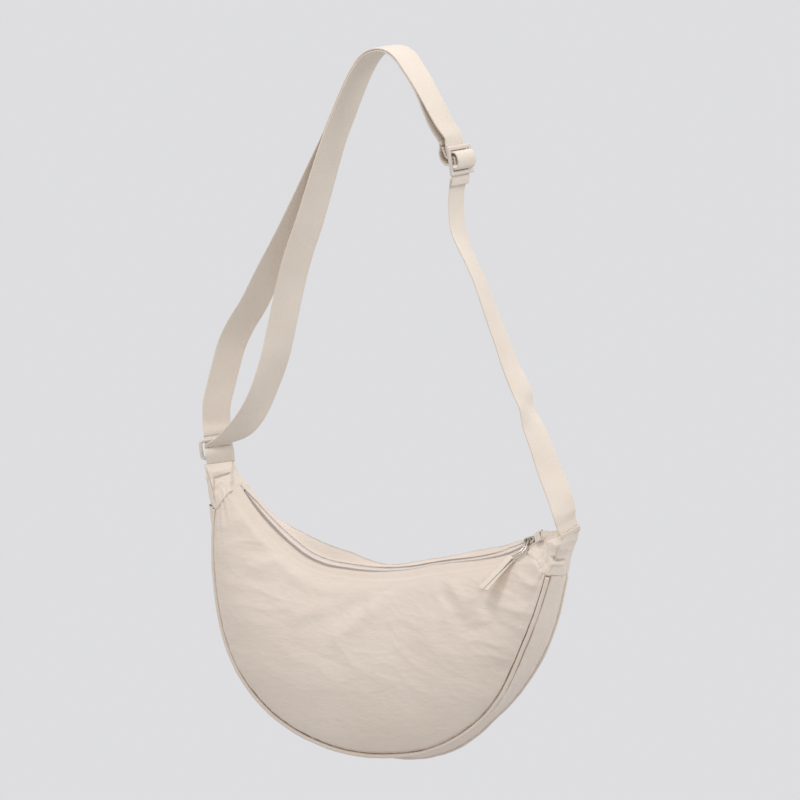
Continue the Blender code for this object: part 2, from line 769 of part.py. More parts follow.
def ring_arch():
    """Points of the loop that stands up slack over the lower bar of the ring, back to front."""
    _, up, back = ring_axes()
    centre = RING_CENTRE - up * RING_HALF_HIGH
    top = 2 * RING_HALF_HIGH - RING_BEND - RING_WRAP_SLACK - STRAP_THICK - 2 * GAP
    half = ((RING_BEND, 0.0), (RING_BEND + 0.0005, 0.26), (RING_BEND + 0.0006, 0.56),
            (RING_BEND - 0.0003, 0.83), (RING_BEND * 0.5, 0.97))
    route = [*half, (0.0, 1.0), *((-away, share) for away, share in reversed(half))]
    return [centre + back * away + up * (top * share) for away, share in route]


def shared_route():
    """The inner strand from where the two meet on the left leg to its end at the adjuster."""
    over_points, over_widths = stations(strap_over())
    flat_points, flat_widths = hang_stations()
    right_points, right_widths = stations(strap_right_side())
    end = [adjuster_place(FOOT_UP + 0.008, LEVEL_LEG), adjuster_place(FOOT_UP + GAP, LEVEL_LEG)]
    end_widths = [adjuster_axes()[0]] * 2
    left_path, left_sides = sweep([*over_points, flat_points[0]], [*over_widths, flat_widths[0]])
    right_path, right_sides = sweep([flat_points[3], *right_points, *end],
                                    [flat_widths[3], *right_widths, *end_widths])
    path = [*left_path, *flat_points[1:3], *right_path]
    return path, [*left_sides, *flat_widths[1:3], *right_sides]


def add_strap_inner():
    """From the ring's upper bar up the viewer's side, over the top and down to the adjuster."""
    across, up, _ = ring_axes()
    wrap = ring_wrap()
    shared_path, shared_sides = shared_route()
    leg_points, leg_widths = stations(strap_left_inner())
    path, sides = sweep([wrap[-1], *leg_points, shared_path[0]], [across, *leg_widths, shared_sides[0]])
    path = [wrap[0] + up * 0.0030, *wrap[:-1], *path[:-1], *shared_path]
    sides = [across] * len(wrap) + sides[:-1] + shared_sides
    band = sections(path, sides, INNER_SKEW)
    return add_band("strap_inner_strand", band, STRAP_WIDE, STRAP_THICK, CREAM_WEBBING)


def add_strap_outer():
    """From behind the ring, outside the inner strand over the top, to behind the adjuster."""
    across, up, _ = ring_axes()
    begin = [ring_wrap()[0] + up * (0.0030 + GAP + rise) for rise in (0.0, 0.004)]
    shared_path, shared_sides = shared_route()
    end = [adjuster_place(0.0055, LEVEL_LEG)]
    shared = sections(shared_path + end, shared_sides + shared_sides[-1:])[1:]
    shared = shift_sections(shared, LAYER)
    leg_points, leg_widths = stations(strap_left_outer())
    path, sides = sweep([*begin, *leg_points, shared[0][0]],
                        [across, across, *leg_widths, shared_sides[1]])
    band = sections(path + [shared[1][0]], sides + [shared_sides[2]])[:-2] + shared
    return add_band("strap_outer_strand", band, STRAP_WIDE, STRAP_THICK, CREAM_WEBBING)


def add_strap_lower(bag_turn, bag_place):
    """From below the adjuster to the tab at the right end of the bag."""
    points, widths = stations(strap_below_adjuster())
    start = -(ADJUSTER_BAR / 2 + STRAP_THICK + ADJUSTER_TRAVEL + 0.0015)
    begin = [adjuster_place(start - down, LEVEL_STRAND) for down in (0.0, 0.012, 0.024)]
    end_up = bag_turn @ cap_up(1, bag_turn)
    top = bag_place @ RIGHT_CAP_TOP
    end = [top + end_up * 0.008, top + end_up * GAP]
    end_width = bag_turn @ cap_width(1, bag_turn)
    across = adjuster_axes()[0]
    path, sides = sweep([*begin, *points, *end], [across] * 3 + [*widths, end_width, end_width])
    return add_band("strap_lower_strand", sections(path, sides), STRAP_WIDE, STRAP_THICK, CREAM_WEBBING)


def add_adjuster():
    across, up, out = adjuster_axes()
    wide, high, thick = ADJUSTER_SIZE
    frame = Matrix.Translation(ADJUSTER_CENTRE) @ Matrix((across, up, out)).transposed().to_4x4()
    if frame.to_3x3().determinant() < 0:
        frame = frame @ Matrix.Diagonal((-1.0, 1.0, 1.0, 1.0))
    obj = add_box("adjuster", (-wide / 2, -high / 2, -thick / 2), (wide / 2, high / 2, thick / 2),
                  CREAM_PLASTIC)
    obj.matrix_local = frame
    slot_low = ADJUSTER_BAR / 2
    slot_high = high / 2 - ADJUSTER_BAR
    for name, sign in (("slot_up", 1), ("slot_down", -1)):
        low, high_edge = sorted((sign * slot_low, sign * slot_high))
        cutter = add_box(name, (-SLOT_WIDE / 2, low, -thick), (SLOT_WIDE / 2, high_edge, thick),
                         CREAM_PLASTIC)
        cutter.matrix_local = frame
        boolean(obj, cutter, "DIFFERENCE")
    bevel(obj, 0.0009)
    return obj


def local_band(name, route):
    """A band in the adjuster's frame from pairs of distance along the strap and height out of it."""
    points = [adjuster_place(along, out) for along, out in route]
    band = sections(points, [adjuster_axes()[0]] * len(points))
    return add_band(name, band, STRAP_WIDE, STRAP_THICK, CREAM_WEBBING)


def add_strap_hump():
    """The threaded webbing: behind both outer bars and over the middle one."""
    bar = ADJUSTER_BAR / 2
    low_end = -(ADJUSTER_SIZE[1] / 2 + FOOT_DOWN)
    side = bar + 0.0052
    route = [(FOOT_UP, LEVEL_FOOT), (side, LEVEL_FOOT), (side - 0.0006, LEVEL_FOOT + 0.0012),
             (bar + 0.0030, LEVEL_HUMP - 0.0016), (bar + 0.0012, LEVEL_HUMP), (0.0, LEVEL_HUMP + 0.0003),
             (-bar - 0.0012, LEVEL_HUMP), (-bar - 0.0030, LEVEL_HUMP - 0.0016),
             (-side + 0.0006, LEVEL_FOOT + 0.0012), (-side, LEVEL_FOOT), (low_end, LEVEL_FOOT)]
    return local_band("strap_through_adjuster", route)


def add_strap_end_loop():
    """The sewn end of the webbing: round the middle bar and folded back on itself."""
    bar = ADJUSTER_BAR / 2
    near = bar + GAP + STRAP_THICK / 2
    route = [(FOOT_UP, LEVEL_LEG), (near + 0.0022, LEVEL_LEG), (near, LEVEL_STRAND + 0.0002),
             (near + 0.0001, 0.0012), (near - 0.0008, LEVEL_LOOP + 0.0002), (0.0, LEVEL_LOOP + 0.0003),
             (-near + 0.0008, LEVEL_LOOP + 0.0002), (-near - 0.0001, 0.0012), (-near, LEVEL_LEG),
             (-near + 0.0018, LEVEL_FOLD), (FOOT_UP + 0.004, LEVEL_FOLD)]
    return local_band("strap_end_loop", route)


def add_ring():
    across, up, back = ring_axes()
    half_wide = RING_INNER[0] / 2 + RING_WIRE
    corner = RING_CORNER
    points = []
    for x_side, y_side, start in ((1, 1, 0), (-1, 1, 90), (-1, -1, 180), (1, -1, 270)):
        for turn in range(4):
            angle = math.radians(start + turn * 30)
            right = x_side * (half_wide - corner) + corner * math.cos(angle)
            high = y_side * (RING_HALF_HIGH - corner) + corner * math.sin(angle)
            points.append(RING_CENTRE + across * right + up * high)
    return add_tube("strap_ring", points, RING_WIRE, CREAM_PLASTIC, closed=True, sides=2)


def add_ring_loop():
    """A short webbing loop from the left tab round the lower bar of the ring."""
    across, up, back = ring_axes()
    arch = ring_arch()
    meet = back * (STRAP_THICK / 2 + GAP)
    low = (arch[0] + arch[-1]) / 2 - up * RING_LOOP_LEG
    points = [low + meet, *arch, low - meet]
    band = sections(points, [across] * len(points))
    return add_band("ring_webbing_loop", band, STRAP_WIDE, STRAP_THICK, CREAM_WEBBING)


def build():
    clear_scene()
    bag = bpy.data.objects.new("bag_frame", None)
    bpy.context.collection.objects.link(bag)
    bag.location = BAG_CENTRE
    bag.rotation_euler = (0.0, BAG_TILT, 0.0)
    bag_turn = bag.rotation_euler.to_matrix()
    bag_place = Matrix.Translation(BAG_CENTRE) @ bag_turn.to_4x4()

    add_panel("front_panel", -1, bag)
    add_panel("back_panel", 1, bag)
    add_gusset("gusset", 0.0, SEAM_CLEAR, CLOTH, CREAM_CLOTH, bag)
    add_seam("front_seam_binding", -1, bag)
    add_seam("back_seam_binding", 1, bag)
    add_lining_panel("lining_front", -1, bag)
    add_lining_panel("lining_back", 1, bag)
    add_gusset("lining_gusset", LINING_INSET, 0.0, LINING_THICK, LINING_CLOTH, bag)
    add_pocket(bag)

    add_tape("zip_tape_front", -1, bag)
    add_tape("zip_tape_back", 1, bag)
    add_teeth("zip_teeth_front", -1, bag)
    add_teeth("zip_teeth_back", 1, bag)
    add_stop("zip_stop_left", ZIP_LEFT_STOP, bag)
    add_stop("zip_stop_right", ZIP_RIGHT_STOP, bag)
    add_slider(bag)
    add_pull_ring(bag)
    add_pull_tab(bag)

    add_cap("left_end_tab", -1, bag, bag_turn, bag_place)
    add_cap("right_end_tab", 1, bag, bag_turn, bag_place)

    add_ring()
    add_ring_loop()
    add_strap_inner()
    add_strap_outer()
    add_strap_lower(bag_turn, bag_place)
    add_adjuster()
    add_strap_hump()
    add_strap_end_loop()


build()
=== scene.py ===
"""The look of a dumpling shoulder bag that hangs by its strap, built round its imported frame.

Metres, +Z up. The origin is the hang point under the top of the strap. +X runs along the bag to
its zipped end and -Y faces the viewer of the front panel. The bag has its own frame, whose origin
lies midway between the two upper seam corners, and it is tilted as it hangs.
"""

import math

import bpy
import numpy as np
from mathutils import Matrix, Vector, noise


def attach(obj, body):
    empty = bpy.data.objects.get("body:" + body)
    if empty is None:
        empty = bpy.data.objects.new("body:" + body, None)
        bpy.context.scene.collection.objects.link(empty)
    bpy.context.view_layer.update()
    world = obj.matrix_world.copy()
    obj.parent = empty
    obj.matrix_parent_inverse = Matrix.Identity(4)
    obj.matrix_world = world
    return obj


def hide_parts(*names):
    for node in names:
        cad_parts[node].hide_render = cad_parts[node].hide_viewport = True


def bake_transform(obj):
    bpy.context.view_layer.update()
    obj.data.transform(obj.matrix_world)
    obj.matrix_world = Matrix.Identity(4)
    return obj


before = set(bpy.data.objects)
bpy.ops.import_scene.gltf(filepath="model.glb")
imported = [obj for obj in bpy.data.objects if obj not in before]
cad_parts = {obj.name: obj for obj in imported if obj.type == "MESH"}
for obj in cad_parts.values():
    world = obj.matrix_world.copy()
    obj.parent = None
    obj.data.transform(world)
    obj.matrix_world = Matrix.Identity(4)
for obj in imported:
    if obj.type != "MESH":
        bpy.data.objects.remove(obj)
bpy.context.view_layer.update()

MM = 0.001
BACK = np.array((0.0, 1.0, 0.0))

# The same driving sizes as in the source of the part
BAG_CENTRE = Vector((-0.001, 0.0, -0.418))
BAG_TILT = math.radians(9.5)
HALF_WIDTH = 0.1565
DROP = 0.185
OUTLINE_POWER = 2.3
GUSSET_HALF_LOW = 0.028
GUSSET_HALF_END = 0.0215
GUSSET_CROWN = 0.003
FRONT_BELLY = 0.012
BACK_BELLY = 0.009
SEAM_CLEAR = 0.0024
LINING_INSET = 0.0032
POCKET_SPAN = 0.42
POCKET_LOW, POCKET_HIGH = 0.22, 0.66
ZIP_CENTRE = np.array((-0.0085, -0.006, 0.1903))
ZIP_RADIUS = 0.216
ZIP_ENDS = (math.radians(-39.3), math.radians(43.2))
BAND_SLOPE = math.cos(math.radians(45.0))
SHELF_OUT = 0.0125
TAPE_TOP = -0.0013
COIL_TOP = -0.0022
SLIDER_REST = math.radians(39.6)
STOPS = (math.radians(-38.3), math.radians(42.2))
SLIDER_LONG = 0.0115
SLIDER_HALF = 0.0046
SLIDER_PLATE = 0.0014
BRIDGE_HOLE_HIGH = 0.0022
PULL_SKEW = math.radians(38.0)
PULL_LIFT = math.radians(6.5)
PULL_RING_LONG = 0.022
PULL_TAB_LONG = 0.034
PULL_TAB_THICK = 0.0009
STRAP_WIDE = 0.025
STRAP_THICK = 0.0015
GAP = 0.0003
LAYER = STRAP_THICK + GAP
RING_WIRE = 0.0016
RING_HALF_WIDE = 0.0160
RING_HALF_HIGH = 0.0077
RING_CENTRE = Vector((-0.1653, 0.0, -0.3392))
RING_HEADING, RING_LIFT = 72, 8
RING_BEND = 0.00265
RING_LOOP_LEG = 0.0050
RING_WRAP_SLACK = 0.0027
ADJUSTER_CENTRE = Vector((0.0655, 0.0, -0.092))
ADJUSTER_SIZE = (0.0330, 0.0250, 0.0026)
ADJUSTER_BAR = 0.0036
RIGHT_CAP_TOP = Vector((0.1612, 0.0, 0.0385))
RIGHT_CAP_UP = Vector((-0.20, 0.0, 0.98))
INNER_SKEW = 0.125
SKEW_FADE = 0.045

# Sizes of the scene's own shapes
RING_NARROWER = 0.0049
LEFT_CAP_MOVED = 0.0014
LINING_CLEAR = 0.0012
LINING_TOP = 0.0092
POCKET_OFF = 0.0022
COIL_PITCH, COIL_WIRE, COIL_THICK = 0.0019, 0.00030, 0.0018
BRIDGE_HALF_LONG, BRIDGE_RISE, BRIDGE_SUNK, BRIDGE_WIRE = 0.0031, 0.0036, 0.0004, 0.00085
THREAD_APART, THREAD_WIRE = 0.00068, 0.00040
PIPING_RADIUS = 0.00185
PULL_SWAY = -0.0052
PULL_SPREAD = 0.0024
PULL_WIRE = 0.0009
PULL_RING_TOP_HALF, PULL_RING_LOW_HALF = 0.0013, 0.0018
PULL_CORNER = 0.0012
PULL_TAB_WIDE, PULL_TAB_LONGER = 0.0062, 0.0025
RING_CORNER, ADJUSTER_ROUNDING = 0.0036, 0.0010
ADJUSTER_HEADING, ADJUSTER_LIFT = 14, 10
SLOT_ROOM, HUMP_WIDER = 0.0008, 0.0004
RIGHT_CAP_HEADING, RIGHT_CAP_LIFT = 22, 18
# Beyond the panels: the caps' back edges, the left one's front edge, the right one's front seam
CAP_BACK_OUT, LEFT_CAP_OUT, TAB_SEAM_OUT = 0.0022, 0.0019, 0.0006
CAP_HALF_WIDE, CAP_HALF_THICK = 0.0138, 0.0030

BAG_TURN = Matrix.Rotation(BAG_TILT, 3, "Y")
BAG = Matrix.Translation(BAG_CENTRE) @ BAG_TURN.to_4x4()

# How far the real zip line sags below its arc: angle in degrees, millimetres
ZIP_SAG = ((-41, 0.2), (-34, 1.4), (-27, 4.2), (-21, 7), (-15.5, 9), (-11, 8), (-6, 4.6),
           (1.5, 0.6), (10, -4), (15, -6.6), (19, -7), (23, -5.8), (28, -3.3), (33, -0.8), (37, 0),
           (45, 0))

# Edges of the mouth by angle in degrees, millimetres: distance of the turned edges from the zip's
# middle, the most that it is at the back, their height over the band, and how far the back edge
# stands above its arc
LIP_OUT = ((-39.3, 0.7), (-37, 1.5), (-34, 2.8), (-30, 3.6), (30, 3.6), (34, 4.2), (36.5, 5.2),
           (43.2, 5.4))
BACK_LIP_MOST = ((-40, 5.6), (33, 4.6), (37, 3.5), (43.2, 2.7))
LIP_RISE = ((-39.3, 0.2), (-34, 0.5), (-30, 0.7), (31, 0.7), (35, 0.3), (37, 0), (43.2, 0))
BACK_LIFT = ((-39.3, -7.5), (-33, -6), (-26.5, -3), (-20, 3.2), (-15, 6), (-8, 4.8), (-3, 0.4),
             (1.5, -3.2), (11, -3), (19, -3.6), (27, -0.9), (34.5, -2), (36, -2.4), (39, -5),
             (43.2, -10))

# How far the front and the back seam hang outside the plain outline, and the middle of the gusset
# outside its own: place along it, millimetres
FRONT_PUSH = ((-1, 3.2), (-0.975, 1.9), (-0.95, 1), (-0.925, 0.1), (-0.9, -0.6), (-0.85, -1.5),
              (-0.8, -2.3), (-0.7, -2.2), (-0.65, -1.8), (-0.6, -1.2), (-0.5, -0.5), (-0.4, -0.5),
              (-0.3, -0.9), (-0.2, -1.7), (-0.1, -2.1), (0, -2), (0.1, -1.8), (0.2, -1),
              (0.3, 1.2), (0.4, 2.2), (0.5, 2.5), (0.55, 2.3), (0.6, 1.4), (0.65, 0.2),
              (0.7, -1.6), (0.75, -3.3), (0.8, -4.2), (0.85, -4.2), (0.9, -3.5), (0.95, -2.2),
              (1, -0.4))
BACK_PUSH = ((-1, 3), (-0.95, 1), (-0.9, -0.6), (-0.8, -2), (-0.65, -1.8), (-0.5, -0.6),
             (-0.3, -0.6), (-0.1, 0.5), (0, 2.6), (0.1, 5.2), (0.2, 6.2), (0.3, 5.8), (0.35, 5),
             (0.4, 3.2), (0.45, 1.4), (0.5, -0.6), (0.55, -1), (0.6, -1.2), (0.65, -1.2),
             (0.75, -0.6), (0.85, -0.1), (0.95, 0.2), (1, 0.4))
END_BULGE = ((-1, 13.5), (-0.975, 11), (-0.95, 8), (-0.925, 5.4), (-0.90, 3.2), (-0.87, 1.2),
             (-0.84, 0), (0.90, 0), (0.93, 0.3), (0.96, 1.2), (0.975, 2), (1, 3.2))

# The seam between the front panel and the right tab: height on the panel, place along it
TAB_SEAM = ((0, 1), (0.25, 0.986), (0.5, 0.968), (0.8, 0.938), (1, 0.888))

# Folds of the panels as they hang, in millimetres of the bag's frame: start, end, half width,
# height above the cloth
FRONT_FOLDS = (
    (-134, 3, -118, -1, 4, -1), (-140, -8, -112, -12, 6, 0.6), (-124, -21, -86, -10, 4.5, 0.8),
    (-120, -33, -84, -24, 5, -0.5), (-118, -47, -87, -31, 4.5, 0.7),
    (-112, -58, -78, -46, 6, -0.5), (-82, -48, -58, -38, 5, 0.7), (-64, -82, -34, -64, 6, 0.9),
    (-74, -92, -40, -80, 7, -0.5), (30, -24, -32, -76, 7, -1.3), (14, -48, -26, -96, 9, 1.1),
    (-30, -40, -44, -62, 8, 0.6), (60, -27, 98, -58, 6, -1.2), (62, -12, 92, -42, 6, 0.9),
    (86, -22, 112, -52, 5, 0.5), (98, -56, 118, -50, 5, -0.6), (126, -2, 148, -12, 4, 0.8),
    (122, -16, 146, -24, 4.5, -0.6), (107, -38, 133, -50, 5, -0.7), (116, -28, 142, -36, 4.5, 0.6),
    (-72, -98, 4, -112, 4, -0.35), (-20, -104, 52, -118, 6, 0.35), (40, -74, 110, -88, 8, 0.4),
    (-120, -84, -60, -104, 9, 0.4))
BACK_FOLDS = (
    (-128, -4, -92, -14, 5, 0.8), (-112, -24, -66, -46, 7, -0.9), (-84, -30, -40, -66, 8, 0.9),
    (20, -22, -24, -70, 8, -1.1), (44, -20, 14, -78, 9, 0.9), (66, -18, 100, -60, 7, -1),
    (92, -10, 128, -40, 6, 0.8), (-50, -104, 40, -122, 9, 0.5))
# Folds of a cap, the same: round it from 0 to 1, up it from 0 to 1, height in millimetres
LEFT_CAP_FOLDS = (
    (0.060, 0.64, 0.250, 0.60, 0.026, -1.7), (0.050, 0.76, 0.240, 0.74, 0.050, 0.8),
    (0.055, 0.62, 0.030, 0.36, 0.012, -1.3), (0.004, 0.92, 0.012, 0.12, 0.010, -1.3),
    (0.070, 0.40, 0.150, 0.46, 0.050, 0.6), (-0.14, 0.15, -0.10, 0.70, 0.040, 0.9),
    (0.30, 0.10, 0.32, 0.60, 0.040, -0.8))
RIGHT_CAP_FOLDS = (
    (-0.012, 0.34, -0.016, 0.66, 0.010, -1.3), (0.030, 0.42, -0.060, 0.30, 0.030, -1.2),
    (-0.060, 0.30, -0.140, 0.31, 0.030, -1.1), (0, 0.24, -0.14, 0.22, 0.040, 0.9),
    (-0.030, 0.24, 0, 0, 0.012, -0.7), (0.06, 0.20, 0.13, 0.50, 0.020, -0.5),
    (0.12, 0.10, 0.17, 0.40, 0.018, -0.4), (-0.07, 0.45, -0.05, 0.80, 0.050, 0.8))

# Stations of the strap: place in millimetres, heading and lift of its width in degrees
LEFT_INNER = (
    (-152, -4.5, -330.2, 71, 0), (-142, -6.5, -323.6, 68, -8), (-133.6, -7.5, -315.6, 62, -9),
    (-126.6, -8, -306, 56, -6), (-121, -8, -296, 52, -3), (-115.3, -8, -283.5, 51, 0),
    (-110.3, -8, -271, 52, 0), (-104.4, -8, -252, 60, 0), (-99.4, -7, -229, 63, 0),
    (-93.8, -6, -203, 59, 0), (-86.1, -4.5, -172.5, 54, 0), (-75.7, -2, -141, 48, 0),
    (-66.4, 1.5, -107.5, 41, 0))
LEFT_OUTER = (
    (-170, 4.5, -317, 72, 2), (-170.3, 5.5, -300, 70, 0), (-167.1, 7.5, -284, 68, 0),
    (-162.6, 9, -265, 64, 0), (-157.4, 10, -247, 60, 0), (-148.3, 10, -230, 57, 0),
    (-135.2, 9.5, -211, 54, 0), (-117.7, 8, -180.5, 50, 0), (-98.9, 5.5, -150, 45, 0),
    (-83.4, 5.5, -121, 42, 0), (-71.6, 6.5, -97, 38, 0))
STRAP_TOP = (
    (-56.5, 5.5, -72, 33, 0), (-46.4, 8, -45.5, 30, 2), (-37.6, 8.8, -25.1, 28, 5),
    (-30.6, 8.8, -11.8, 27, 7), (-23, 8, -1.6, 27, 9), (-14, 6, 4.5, 27, 11),
    (-3.9, 2.5, 6, 27, 11), (6.5, -1, 3.6, 27, 11), (15.8, -4, -2.9, 27, 11),
    (23.9, -6.5, -13, 27, 9), (32, -8, -24.8, 26, 7), (38.7, -8.6, -36.1, 24, 5),
    (46.3, -8, -49.6, 22, 5), (52.4, -6, -61.6, 18, 7))
BELOW_ADJUSTER = (
    (60, 6, -117.3, 9, 8), (59.2, 6, -130.1, 8, 6), (60.4, 5, -143, 8, 4), (63.8, 3.5, -156, 9, 2),
    (69.6, 2, -169, 6, 0), (76.8, 1, -182, 5, 0), (84, 0.3, -197, 5, 0), (91.2, 0, -215.4, 7, 0),
    (98.2, 0, -233.9, 10, 0), (104.8, 0, -250, 12, 0), (111.4, 0, -267.5, 16, 0),
    (117.8, 0, -281, 22, 0), (122.2, 0, -291, 21, 0), (125.6, 0, -302.5, 8, 0),
    (129, 0, -311.5, 16, 0), (132.4, 0, -320, 27, 0), (139.5, 0, -337, 32, 0),
    (147.6, -1, -357.6, 36, 4), (156.5, -3, -377, 36, 9), (161.7, -4, -393.5, 28, 14))
# How far the inner strand hangs away from the outer one above the adjuster: height, millimetres
HANG_APART = ((-79.2, 2.6), (-75, 4.2), (-69, 5.2), (-61, 5), (-51, 3.8), (-42, 2), (-34, 0.5),
              (-26, 0), (0, 0))


# Small helpers

def glide(x, knots):
    """A smooth curve through the knots, read at x."""
    xs, ys = np.array(knots, float).T
    slopes = np.gradient(ys, xs)
    x = np.clip(np.asarray(x, float), xs[0], xs[-1])
    i = np.clip(np.searchsorted(xs, x) - 1, 0, len(xs) - 2)
    step = xs[i + 1] - xs[i]
    t = (x - xs[i]) / step
    return (ys[i] * (1 + 2 * t) * (1 - t) ** 2 + slopes[i] * step * t * (1 - t) ** 2
            + ys[i + 1] * t * t * (3 - 2 * t) + slopes[i + 1] * step * t * t * (t - 1))


def fade(x, start, end):
    """0 before start, 1 after end, smooth between."""
    t = np.clip((x - start) / (end - start), 0, 1)
    return t * t * (3 - 2 * t)


def unit(vectors):
    return vectors / np.maximum(np.linalg.norm(vectors, axis=-1, keepdims=True), 1e-12)


def points_of(*coordinates):
    """Points from their coordinates, each an array or one number for all."""
    return np.stack(np.broadcast_arrays(*coordinates), -1)


def to_world(points, matrix=BAG):
    """Points of a matrix's frame, as a rule the bag's, in the world."""
    turn = np.array(matrix)
    return np.asarray(points, float) @ turn[:3, :3].T + turn[:3, 3]


def placed(axes, origin):
    """The matrix of a frame from its three axes and its origin."""
    return Matrix.Translation(origin) @ Matrix(axes).transposed().to_4x4()


def axis_of(matrix, number):
    return tuple(matrix.to_3x3().col[number])


def lengths_along(points):
    """The distance of each point from the first one along the line."""
    steps = np.linalg.norm(np.diff(points, axis=0), axis=-1)
    return np.concatenate(((0.0,), np.cumsum(steps)))


def ripple(points, sizes, seed):
    """Smooth noise from -1 to 1 at points, whose lumps have the given sizes along the axes."""
    shift = np.array((7.31, 3.17, 5.93)) * seed
    flat = (points / np.array(sizes) + shift).reshape(-1, 3)
    return np.array([noise.noise(Vector(p)) for p in flat]).reshape(points.shape[:-1])


def crumple(points, sizes, seed):
    """Noise with sharp creases between round lumps, from -1 to 1."""
    return 1.0 - 2.0 * np.abs(ripple(points, sizes, seed)) ** 0.7 * 1.25


def fold_height(x, y, fold, bow, straight):
    """Height at places x, y of one fold, which bows a little and fades beyond its straight part."""
    start_x, start_y, end_x, end_y, wide, high = fold
    run_x, run_y = end_x - start_x, end_y - start_y
    length = math.hypot(run_x, run_y)
    x, y = x - start_x, y - start_y
    t = (x * run_x + y * run_y) / length ** 2
    away = (x * run_y - y * run_x) / length + bow * length * (t - 0.5) ** 2
    over = np.maximum(0, np.abs(t - 0.5) - straight)
    return high * np.exp(-(away / wide) ** 2 - (over / 0.2) ** 2)


def grid_normals(grid):
    return unit(np.cross(np.gradient(grid, axis=1), np.gradient(grid, axis=0)))


def grid_faces(rows, columns, wrap=False):
    faces = []
    for start in range(0, (rows - 1) * columns, columns):
        for column in range(columns if wrap else columns - 1):
            low, high = start + column, start + (column + 1) % columns
            faces.append((low, high, high + columns, low + columns))
    return faces


def shell_faces(rows, count):
    """Faces of a row of rings that is closed at both ends."""
    return grid_faces(rows, count, True) + [
        tuple(reversed(range(count))), tuple((rows - 1) * count + i for i in range(count))]


def cloth_map(grid):
    """Distances along and down a grid of points."""
    along = np.linalg.norm(np.diff(grid, axis=1), axis=-1)
    down = np.linalg.norm(np.diff(grid, axis=0), axis=-1)
    middle = grid.shape[1] // 2
    made = np.zeros(grid.shape)
    made[:, 1:, 0] = np.cumsum(along, axis=1)
    made[:, :, 0] -= made[:, middle:middle + 1, 0]
    made[1:, :, 1] = np.cumsum(down, axis=0)
    return made


def add_object(name, points, faces, look, body=None, replaced=None, cloth=None,
               painted_shade=None):
    """A mesh piece, the body it rides on and the CAD node that it replaces.

    For each point, cloth holds its place on the unrolled cloth, and the last argument says from 0
    to 1 how much painted shade darkens its colour, in creases, along seams and by the zip's front
    edge.
    """
    mesh = bpy.data.meshes.new(name)
    mesh.from_pydata(np.asarray(points).reshape(-1, 3).tolist(), [], faces)
    mesh.update()
    for layer_name, kind, key, values in (("cloth", "FLOAT_VECTOR", "vector", cloth),
                                          ("painted_shade", "FLOAT", "value", painted_shade)):
        if values is not None:
            layer = mesh.attributes.new(layer_name, kind, "POINT")
            layer.data.foreach_set(key, np.asarray(values, np.float32).ravel())
    mesh.shade_smooth()
    mesh.materials.append(look)
    obj = bpy.data.objects.new(name, mesh)
    bpy.context.collection.objects.link(obj)
    if body:
        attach(obj, body)
    if replaced:
        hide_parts(replaced)
    return obj


def add_grid(name, grid, look, body, outward, replaced, painted_shade=None):
    """A sheet through a grid of the bag's points, turned so that its faces look outward."""
    grid = to_world(grid)
    rows, columns = grid.shape[:2]
    faces = grid_faces(rows, columns)
    if np.dot(grid_normals(grid)[rows // 2, columns // 2], outward) > 0:
        faces = [face[::-1] for face in faces]
    return add_object(name, grid, faces, look, body, replaced, cloth_map(grid), painted_shade)


# Materials

def nodes_of(name):
    made = bpy.data.materials.new(name)
    made.use_nodes = True
    return made, made.node_tree, made.node_tree.nodes["Principled BSDF"]


def fill(tree, made, **values):
    """Sets up a node. A value is that of a property or an input, or an output to link to it."""
    for key, value in values.items():
        if hasattr(made, key):
            setattr(made, key, value)
        elif isinstance(value, bpy.types.NodeSocket):
            tree.links.new(value, made.inputs[key.replace("_", " ")])
        else:
            made.inputs[key.replace("_", " ")].default_value = value
    return made


def node(tree, kind, **values):
    return fill(tree, tree.nodes.new("ShaderNode" + kind), **values)


def noise_node(tree, vector, scale, detail=3.0, roughness=0.55, distortion=0.0):
    return node(tree, "TexNoise", Scale=scale, Detail=detail, Roughness=roughness,
                Distortion=distortion, Vector=vector).outputs["Fac"]


def stretched(tree, vector, scale=(1, 1, 1), turn=(0, 0, 0)):
    return node(tree, "Mapping", Scale=scale, Rotation=turn, Vector=vector).outputs["Vector"]


def wave(tree, vector, direction, length, distortion=0.0):
    return node(tree, "TexWave", bands_direction=direction, Scale=0.314 / length,
                Distortion=distortion, Vector=vector).outputs["Fac"]


def mix_colour(tree, factor, low, high):
    return node(tree, "Mix", data_type="RGBA", A=(*low, 1), B=(*high, 1),
                Factor=factor).outputs["Result"]


def shade_by(tree, colour, factor, tint):
    """Paints shade: multiplies a colour towards a tint where the factor is high."""
    return node(tree, "Mix", data_type="RGBA", blend_type="MULTIPLY", B=(*tint, 1), Factor=factor,
                A=colour).outputs["Result"]


def spread(tree, value, low, high, new_low=0.0, new_high=1.0):
    return node(tree, "MapRange", From_Min=low, From_Max=high, To_Min=new_low, To_Max=new_high,
                Value=value).outputs["Result"]


def bump_chain(tree, layers):
    """Bumps one over another. Each layer is a height from 0 to 1 and its depth in metres."""
    last = {}
    for height, depth in layers:
        made = node(tree, "Bump", Strength=1.0, Distance=depth, Height=height, **last)
        last = {"Normal": made.outputs["Normal"]}
    return last["Normal"]


def cloth_place(tree):
    return node(tree, "Attribute", attribute_name="cloth").outputs["Vector"]


def object_place(tree):
    return node(tree, "TexCoord").outputs["Object"]


# Painted shade: the colour is multiplied towards a dark brown tint by each point's painted shade
# value
def paint_shade_in_creases(tree, colour):
    depth = node(tree, "Attribute", attribute_name="painted_shade").outputs["Fac"]
    return shade_by(tree, colour, depth, (0.50, 0.43, 0.38))


